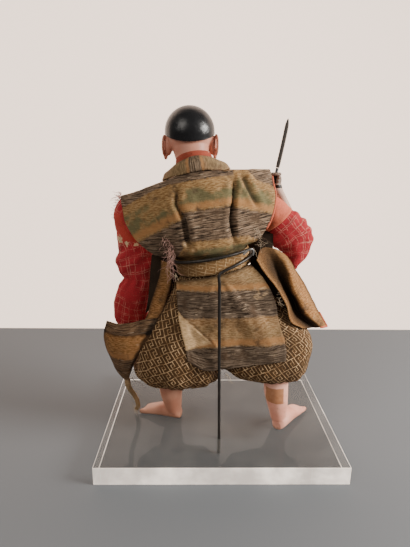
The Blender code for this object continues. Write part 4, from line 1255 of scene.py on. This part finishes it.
def add_wire():
    foot = doll(1.3, 54.8, 0)
    bend = ring_point(6, -8.5)
    upright = [foot + (bend - foot) * share for share in np.linspace(0, 1, 40)]
    low = np.array((foot[0], foot[1], 1.0 * MM))
    around = [ring_point(*stop) for stop in curve(WIRE_RING, 10)]
    kink = curve([upright[-3], bend, around[0]], 6)
    path = np.array([low, *upright[:-3], *kink, *around[1:]])
    obj = tube("wire_bent", path, WIRE_RADIUS * MM, 16)
    finish(obj, WIRE_METAL, "wire", "support_wire")
    obj = tube("wire_hook", [doll(*point) for point in curve(WIRE_HOOK, 8)], 1.1 * MM, 14)
    finish(obj, HOOK_METAL, "wire")


# Collars
COLLAR = (
    ((0, 15, 103), (0, 23, 92.5)), ((13.5, 12.5, 100.5), (16.5, 20, 90.5)),
    ((24, 5, 95.5), (29.5, 9, 89.5)), ((28.5, -6, 91), (36, -5, 88)),
    ((27, -17, 86.5), (35.5, -19, 84)), ((19, -27, 76), (29, -28, 71)),
    ((11, -31, 62), (21, -32, 56)), ((1, -33, 44), (11, -34, 38)), ((-8, -34, 26), (2, -35, 19)),
)


def add_collars(vest_tree):
    left = [np.array(pair, float) for pair in COLLAR]
    right = [pair * (-0.9, 1, 1) for pair in left[1:-2]]
    rows = curve(right[::-1] + left, 10)
    grid = []
    for inner, outer in rows:
        row = []
        for share in np.linspace(0, 1, 12):
            place = inner * (1 - share) + outer * share
            row.append(torso(*place))
        grid.append(row)
    points = keep_off(np.array(grid), [vest_tree], 1.4 * MM)
    out = normals(points, False)
    middle = points.mean(axis=(0, 1))
    if (out * (points - middle)).sum() < 0:
        out = -out
    arch = np.sin(np.linspace(0, math.pi, 12))[None] * 1.1
    points += out * (arch + 0.35 * rough(points, 0.009, 61))[..., None] * MM
    points = lay_on(points, vest_tree, 0.9 * MM, np.clip(np.linspace(-1, 1, 12), 0, 1) ** 1.5)
    band = np.zeros((*points.shape[:2], 2))
    along = np.linspace(0, 1, len(points))[:, None]
    band[..., 0] = 1.55 + 0.9 * gauss(along - 0.432, 0.03)
    obj = grid_mesh("vest_collar_cloth", points, band=band)
    thicken(obj, 1.0 * MM)
    finish(obj, COLLAR_CLOTH, "banded_cloth", "vest_collar")

    grid = []
    for turn in np.linspace(-math.radians(110), math.radians(110), 90):
        rise = 1 + 15 * ((1 + math.cos(turn)) / 2) ** 0.8
        row = []
        for share in np.linspace(0, 1, 12):
            out = 17.2 + 1.4 * (1 - share) + 0.5 * math.sin(share * math.pi)
            row.append(torso(1.5 + out * math.sin(turn), -7.5 + out * math.cos(turn), 92 + rise * share))
        grid.append(row)
    points = np.array(grid)
    points += 0.25 * rough(points, 0.008, 62)[..., None] * MM
    obj = grid_mesh("inner_collar_cloth", points)
    thicken(obj, 0.9 * MM)
    finish(obj, COLLAR_RED, "salmon_cloth", "inner_collar")


# The skirts below the belt
TAIL_ROWS = (
    ((46.5, 40, 170), (30, 47, 173.2), (8.5, 49.5, 177.6), (-12, 47, 182.6), (-27, 39, 187.6)),
    ((45.8, 44, 158), (26, 49, 160), (5, 50, 163), (-18, 47.5, 168), (-41, 43, 172.5)),
    ((45, 46, 144), (23, 50, 144), (4, 50.3, 145), (-22, 48, 148), (-52.5, 44, 151)),
    ((42, 48, 127), (20, 50.3, 126), (3, 50.3, 126), (-26, 48.5, 127), (-57, 45, 129)),
    ((38.5, 49.5, 108), (18, 50.5, 105), (2, 50.4, 104), (-28, 49, 105), (-62.5, 44, 108)),
    ((35.5, 50, 88), (17, 50.5, 77), (1.6, 50.4, 78), (-29, 49, 82), (-64.5, 42, 88)),
)
RIGHT_FLAP_ROWS = (
    ((-32.5, 41, 192), (-40, 23, 200), (-55, 19, 198.5), (-67.5, 17, 190.5)),
    ((-41.8, 44, 178.5), (-54, 20, 181), (-66.5, 25, 181), (-73.5, 18, 182)),
    ((-53.5, 46, 163.5), (-68, 18, 159), (-72, 34, 162), (-81.5, 19, 170.5)),
    ((-62.5, 47, 149), (-77.5, 19, 141), (-79, 36, 149), (-93, 19, 152)),
    ((-69.5, 46, 130), (-84.5, 22, 127.5), (-88, 33, 134), (-102.5, 19, 134)),
    ((-84, 38, 119), (-97.5, 25, 114.5), (-107, 26, 115.5), (-114.5, 20, 114.5)),
)
LEFT_STRIP_ROWS = (
    ((62.5, 24.5, 187), (54, 26.5, 185)), ((63.5, 26.5, 174), (51, 29, 173)),
    ((67.5, 30, 160), (53.2, 34, 159)), ((73.5, 35, 142), (59.5, 42, 141)),
)
SIDE_ROWS = {
    "left": (
        ((43, 5, 189), (53, 13, 190), (64, 15, 191), (73, 15, 191)),
        ((42, 9, 168), (53, 16, 168), (66, 18, 168), (75, 17, 169)),
        ((55, 9, 150), (62, 17, 149), (70, 21, 148), (77, 19, 147)),
        ((74, 8, 133), (75.5, 14, 132), (78, 18, 130), (80.5, 20, 128)),
    ),
    "right": (
        ((-25.5, 6, 214), (-33, 12, 217), (-42, 14, 217), (-52, 14, 214)),
        ((-30, 9, 184), (-38, 14, 184), (-47, 15, 185), (-55, 13, 186)),
        ((-41, 12, 157), (-51, 15, 158), (-60, 15, 159), (-69, 12, 160)),
        ((-55, 19, 126), (-64, 21, 127), (-74, 19, 128), (-83, 15, 129)),
    ),
}
LEFT_FLAP_ROWS = (
    ((119.5, 32, 124), (106.5, 38, 123), (93.8, 40, 125), (78.4, 41, 129), (64.2, 42, 131)),
    ((122.5, 33, 112), (111.8, 40, 110), (97.9, 43, 110), (85.7, 43, 111), (71.5, 42, 113)),
    ((122.5, 33, 97), (113.8, 39, 94.3), (102.8, 42, 94.6), (92.5, 42, 95), (81.4, 40, 96)),
    ((119, 30, 80.6), (112.2, 35, 78.5), (104.5, 37, 77.5), (97.1, 37, 77.5), (91, 35, 79)),
    ((112, 26.5, 61), (108, 28, 57), (103, 29, 53.2), (100, 29, 53.2), (98, 28, 57)),
)


def patch(rows, row_steps, column_steps):
    across = [curve(row, column_steps) for row in rows]
    grid = curve(across, row_steps)
    return (grid + (0, 0, FOOT_TOP)) * MM


def shares(points):
    """The numbers of rows and columns, and each one's share of the way down and across."""
    rows, columns = points.shape[:2]
    return rows, columns, np.linspace(0, 1, rows)[:, None], np.linspace(0, 1, columns)[None]


def add_tail(trouser_tree):
    points = patch(TAIL_ROWS, 16, 16)
    rows, columns, down, aside = shares(points)
    x, z = in_mm(points)
    crease = 0.7 * (x - 30.4) - 0.74 * (z - 127.9)
    lift = 2.2 * np.exp(-np.abs(x - 5.5 - 0.9 * (z - 104)) / 3.0) * gauss(z - 113, 16) * (x > 2)
    reach = ramp(x, 4, 14) * gauss(z - 119, 18)
    fold = 3.0 * np.clip(crease / 1.6 + 0.5, 0, 1) * np.clip(1 - (crease - 1.6) / 17, 0, 1) * reach
    waves = 0.7 * np.sin(z * 0.30 + x * 0.05 + 3 * rough(points, 0.04, 71)) * np.sin(aside * math.pi)
    soft = 1.3 * rough(points, 0.025, 72) + 0.5 * rough(points, 0.008, 73)
    curl = 1.2 * gauss(down - 1, 0.06) + 0.9 * gauss(aside - 1, 0.04) * down
    relief = (fold + lift + waves + soft + curl) * np.clip(down * 8, 0, 1)
    near_wire = gauss(x - 1.5, 5)
    relief = relief * (1 - 0.85 * near_wire) - 0.6
    points = pushed(points, relief, False)
    points = keep_off(points, [trouser_tree], 0.9 * MM)
    limit = np.where(np.abs(points[..., 0] / MM - 2) < 6, 52.0, 60.0) * MM
    points[..., 1] = np.minimum(points[..., 1], limit)
    ragged = 0.9 * rough(points, 0.006, 74) * gauss(down - 1, 0.03)
    points[..., 2] += ragged * MM
    left_z = np.interp(z, (88, 100, 133, 161.5, 175), (3.9, 3.0, 2.0, 1.0, 0.3))
    right_z = np.interp(z, (88, 105.8, 134.9, 163.4, 187), (3.9, 3.0, 2.0, 1.0, 0.1))
    share = ramp(x, 46, -100)
    band = np.zeros((rows, columns, 2))
    band[..., 0] = 1 + left_z * (1 - share) + right_z * share
    # Painted highlight: the fold's triangle that faces the light is painted pale.
    bright = np.clip(crease / 1.5, 0, 1) * np.clip((z - 107 + (x - 9) * 0.27) / 2, 0, 1) * ramp(x, 6, 4)
    # Painted shadow just above the crease, where the fold's step shades the cloth.
    above = 0.75 * np.exp(-np.maximum(-crease, 0) / 2.2) * (crease < 0.3) * reach
    scratch = np.zeros_like(x)
    for start, end in (((-31, 155), (-48, 170.5)), ((-34, 153.5), (-45, 160)), ((-37, 163), (-50, 167))):
        line = np.array(end, float) - start
        along = np.clip(((x - start[0]) * line[0] + (z - start[1]) * line[1]) / (line @ line), 0, 1)
        gap = np.hypot(x - start[0] - along * line[0], z - start[1] - along * line[1])
        scratch = np.maximum(scratch, gauss(gap, 0.8) * (rough(points, 0.004, 76) > -0.12))
    # Painted shade along the top edge under the belt and along the right edge.
    under = 0.75 * gauss(down, 0.035) + 0.35 * gauss(aside - 1, 0.03)
    band[..., 1] = np.maximum(above, under) - 0.95 * bright - 0.6 * scratch
    obj = grid_mesh("tail_panel_cloth", points, band=band)
    thicken(obj, 0.8 * MM)
    finish(obj, TAIL_CLOTH, "banded_cloth", "tail_panel")


def add_right_flap(trouser_tree):
    points = patch(RIGHT_FLAP_ROWS, 14, 22)
    rows, columns, down, aside = shares(points)
    soft = 1.1 * rough(points, 0.02, 81) + 0.4 * rough(points, 0.007, 82)
    points = pushed(points, soft * np.clip(down * 6, 0, 1), False)
    points = keep_off(points, [trouser_tree], 1.0 * MM)
    band = np.zeros((rows, columns, 2))
    tones = (1.4, 1.45, 1.5, 1.55, 1.6, 1.7, 1.8)
    band[..., 0] = np.interp(aside, (0, 0.07, 0.1, 0.56, 0.61, 0.93, 1), tones)
    # Painted shade: the trough's inside darkens towards its channel, less near the top, and the outer rim
    # darkens at its edge.
    stops = (0, 0.03, 0.08, 0.16, 0.27, 0.4, 0.58, 0.66, 0.93, 0.97, 1)
    inside = np.interp(aside, stops, (0.15, 0.3, 0.62, 0.86, 0.95, 0.98, 0.85, 0, 0, 0.5, 0.85))
    band[..., 1] = inside * np.interp(down, (0, 0.2, 0.45, 1), (0.65, 0.95, 1, 1))
    obj = grid_mesh("right_flap_cloth", points, band=band)
    thicken(obj, 0.9 * MM)
    finish(obj, FLAP_CLOTH, "banded_cloth", "right_flap")
    rim = np.concatenate([points[-1, columns * 3 // 5 :: 2], points[-2:-13:-2, -1]])
    rim = rim + (rim - points[-20, columns // 2]) * 0.012
    obj = tube("right_flap_piping", curve(rim, 3), 1.1 * MM, 10)
    finish(obj, SALMON_CLOTH, "salmon_cloth")


def add_skirt_side(side, trouser_tree):
    points = patch(SIDE_ROWS[side], 12, 12)
    soft = 1.0 * rough(points, 0.018, 95) + 0.3 * rough(points, 0.006, 96)
    points = pushed(points, soft, False)
    points = keep_off(points, [trouser_tree], 0.9 * MM)
    obj = grid_mesh(f"{side}_skirt_side_cloth", points)
    thicken(obj, 0.9 * MM)
    finish(obj, SHADOWED_LINING_CLOTH, "lining_cloth", f"{side}_skirt_side")


def add_left_flap(trouser_tree):
    leaf = patch(LEFT_FLAP_ROWS, 14, 16)
    rows, columns, down, aside = shares(leaf)
    soft = 1.4 * rough(leaf, 0.024, 91) + 0.45 * rough(leaf, 0.007, 92)
    belly = 1.8 * np.sin(aside * math.pi) * gauss(down - 0.5, 0.35)
    leaf = pushed(leaf, soft + belly - 1.0, False)
    leaf = keep_off(leaf, [trouser_tree], 1.0 * MM)
    band = np.zeros((rows, columns, 2))
    tones = (0.2, 0.5, 0.9, 1.1, 1.9, 2.1, 2.8)
    band[..., 0] = np.interp(down, (0, 0.05, 0.2, 0.24, 0.62, 0.7, 1), tones)
    # Painted shade: the whole leaf is darkened, as it stands in shadow, and more at its right edge, along a
    # line near its top and along its left edge.
    band[..., 1] = 0.2 + np.clip((aside - 0.84 - 0.02 * np.sin(down * 30)) / 0.06, 0, 1) * 0.6
    band[..., 1] += 0.5 * gauss(down - 0.22, 0.03) + 0.4 * gauss(aside, 0.05)
    strip_rows = [np.array(row) for row in LEFT_STRIP_ROWS]
    low = np.array([leaf[0, -16] / MM - (0, 0, FOOT_TOP), leaf[0, -1] / MM - (0, 0, FOOT_TOP)])
    strip = patch([*strip_rows, low], 12, 8)
    share = np.linspace(0, 1, len(strip))[:, None]
    roll = 1.2 * np.sin(np.linspace(0, math.pi, strip.shape[1]))[None] * (1 - 0.5 * share)
    strip = pushed(strip, roll + 0.7 * rough(strip, 0.012, 93), False)
    strip = keep_off(strip, [trouser_tree], 1.0 * MM)
    strip[-1] = leaf[0, -16:][np.linspace(0, 15, strip.shape[1]).astype(int)]
    strip_band = np.full((*strip.shape[:2], 2), 1.5)
    # Painted shade: the strip is darkened, most at its rounded edges.
    strip_band[..., 1] = 0.32 + 0.5 * np.abs(np.linspace(-1, 1, strip.shape[1]))[None] ** 3
    pieces = [grid_mesh("leaf", leaf, band=band), grid_mesh("strip", strip, band=strip_band)]
    obj = merged("left_flap_cloth", pieces)
    thicken(obj, 0.8 * MM)
    finish(obj, FLAP_CLOTH, "banded_cloth", "left_flap")


# The acrylic foot
def add_foot():
    base = bpy.data.objects["acrylic_base"]
    mesh = base.data.copy()
    foot = linked("clear_foot", mesh)
    foot.matrix_world = base.matrix_world
    finish(foot, CLEAR_FACE, "acrylic", "acrylic_base")
    mesh.materials.append(GLOWING_ACRYLIC_EDGE)
    mesh.materials.append(LIGHTER_ACRYLIC_SIDE)
    # The bevels and the front face take the glowing edge, the other upright faces the lighter side: painted
    # highlight.
    for face in mesh.polygons:
        if 0.1 < abs(face.normal.z) < 0.95 or face.normal.y > 0.9 and face.center.y > 0.09:
            face.material_index = 1
        elif max(abs(face.center.x) / 0.12, abs(face.center.y) / 0.095) > 1 and abs(face.normal.z) < 0.1:
            face.material_index = 2


# Loose threads
def threads(name, groups, material, radius=0.19):
    """Fine threads: each group has a middle, a spread, a main direction, a length and a number."""
    rng = np.random.default_rng(len(name) * 7 + 5)
    data = bpy.data.curves.new(name, "CURVE")
    data.dimensions = "3D"
    data.bevel_depth = radius * MM
    data.bevel_resolution = 1
    for middle, spread, direction, length, number in groups:
        for _ in range(number):
            start = np.array(middle, float) + rng.normal(size=3) * spread
            heading = np.array(direction, float) + rng.normal(size=3) * 0.45
            heading /= np.linalg.norm(heading)
            bend = rng.normal(size=3) * 0.35
            reach = length * rng.uniform(0.5, 1.25)
            line = data.splines.new("POLY")
            line.points.add(7)
            for n in range(8):
                share = n / 7
                point = start + heading * reach * share + bend * reach * share**2
                point = point + 0.06 * reach * np.sin(share * 9 + rng.uniform(0, 1)) * np.array((1, 0.3, 0.2))
                line.points[n].co = (*doll(*point), 1)
                line.points[n].radius = 1 - 0.5 * share
    obj = linked(name, data)
    data.materials.append(material)
    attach(obj, "root")


def add_threads():
    left_edge = []
    for x, y, z in ((105, 5, 250), (106, 5.5, 246), (107, 6, 240), (107.5, 6, 234), (107, 7, 228)):
        left_edge.append(((x - 1.5, y, z), (0.8, 1.6, 2.2), (1, 0.1, 0.15), 6.0, 16))
    threads("maroon_frays", left_edge, MAROON_THREAD, 0.24)
    threads(
        "pink_lint",
        (
            ((54, 43, 212), (2.5, 1.0, 3), (0.1, 0.4, -1), 9, 16),
            ((51, 46, 203), (2.2, 1.0, 3.5), (0, 0.3, -1), 12, 20),
            ((51, 49, 193), (2.0, 1.0, 4), (0, 0.2, -1), 14, 16),
            ((50, 49, 180), (1.2, 1.0, 4), (0.1, 0.2, -1), 10, 8),
        ),
        PINK_THREAD,
    )
    threads(
        "beige_frays",
        (
            ((-31, 43, 221), (1.5, 1.0, 2), (-0.2, 0.4, -1), 11, 6),
            ((-33, 42, 208), (2, 1.0, 2), (-0.6, 0.4, -0.6), 9, 6),
            ((-5.5, 50, 73), (1.2, 0.6, 0.8), (-0.2, 0.2, -1), 9, 5),
            ((46, 51, 180), (0.6, 0.5, 2), (0.2, 0.3, -1), 9, 4),
            ((-55, 49, 154), (1.5, 0.8, 4), (-0.7, 0.5, -0.3), 5, 9),
            ((96, 10, 5.5), (0.8, 0.8, 1.0), (0.1, -0.3, -0.6), 6, 14),
            ((96, 15, 22), (1.4, 1.4, 8), (-0.5, 0.2, -1), 6, 14),
            ((101, 26, 46), (1.4, 1.4, 5), (-0.4, 0.2, -1), 6, 10),
        ),
        BEIGE_THREAD,
    )
    threads(
        "dark_frays",
        (
            ((95, 34, 60), (0.8, 0.6, 0.8), (-0.45, -0.3, -1), 22, 3),
            ((-33, 44, 214), (2, 1.0, 3), (-0.5, 0.3, -0.8), 8, 6),
            ((10, 51, 75.5), (9, 0.6, 0.6), (0, 0.1, -1), 3, 12),
            ((-35, 49, 82), (9, 0.8, 0.8), (0, 0.1, -1), 3, 12),
        ),
        DARK_THREAD,
    )


# The room
def add_stage():
    floor_mesh = bpy.data.meshes.new("floor")
    floor_mesh.from_pydata([(-3, -0.29, 0), (3, -0.29, 0), (3, 3, 0), (-3, 3, 0)], [], [(0, 1, 2, 3)])
    floor = bpy.data.objects.new("floor", floor_mesh)
    wall_mesh = bpy.data.meshes.new("backdrop")
    wall_mesh.from_pydata([(-5, -1.6, -3), (5, -1.6, -3), (5, -1.6, 4), (-5, -1.6, 4)], [], [(0, 1, 2, 3)])
    wall = bpy.data.objects.new("backdrop", wall_mesh)
    for obj, colour, glow in ((floor, (0.148, 0.160, 0.172), 0), (wall, (0.98, 0.77, 0.64), 2.1)):
        s = Shader(obj.name, Roughness=0.75, Base_Color=(*colour, 1), Specular_IOR_Level=0.25)
        s.set(Emission_Color=(*colour, 1), Emission_Strength=glow)
        obj.data.materials.append(s.material)
        bpy.context.scene.collection.objects.link(obj)


def add_light(name, place, target, size, power_w, colour):
    data = bpy.data.lights.new(name, "AREA")
    data.shape = "DISK"
    data.size = size
    data.energy = power_w
    data.color = colour
    obj = linked(name, data)
    obj.location = place
    obj.rotation_euler = (Vector(target) - Vector(place)).to_track_quat("-Z", "Y").to_euler()


def add_lights():
    world = bpy.data.worlds.new("room")
    world.use_nodes = True
    world.node_tree.nodes["Background"].inputs[0].default_value = (1.0, 0.97, 0.94, 1)
    world.node_tree.nodes["Background"].inputs[1].default_value = 0.20
    bpy.context.scene.world = world
    target = (0, 0.02, 0.18)
    add_light("window", (-1.05, 0.32, 0.62), target, 0.5, 27, (1.0, 0.96, 0.91))
    add_light("ceiling", (0.55, 0.7, 0.75), target, 0.6, 4.2, (1.0, 0.94, 0.87))


add_wire()
trousers = add_trousers()
add_belt()
add_vest()
trouser_tree = tree_of(trousers)
vest_tree = tree_of(bpy.data.objects["vest_cloth"])
add_sleeves()
add_head()
add_cap()
add_hands()
add_leg("left")
add_leg("right")
add_sword()
add_collars(vest_tree)
add_tail(trouser_tree)
add_right_flap(trouser_tree)
add_left_flap(trouser_tree)
add_skirt_side("left", trouser_tree)
add_skirt_side("right", trouser_tree)
add_threads()
add_foot()
add_stage()
add_lights()
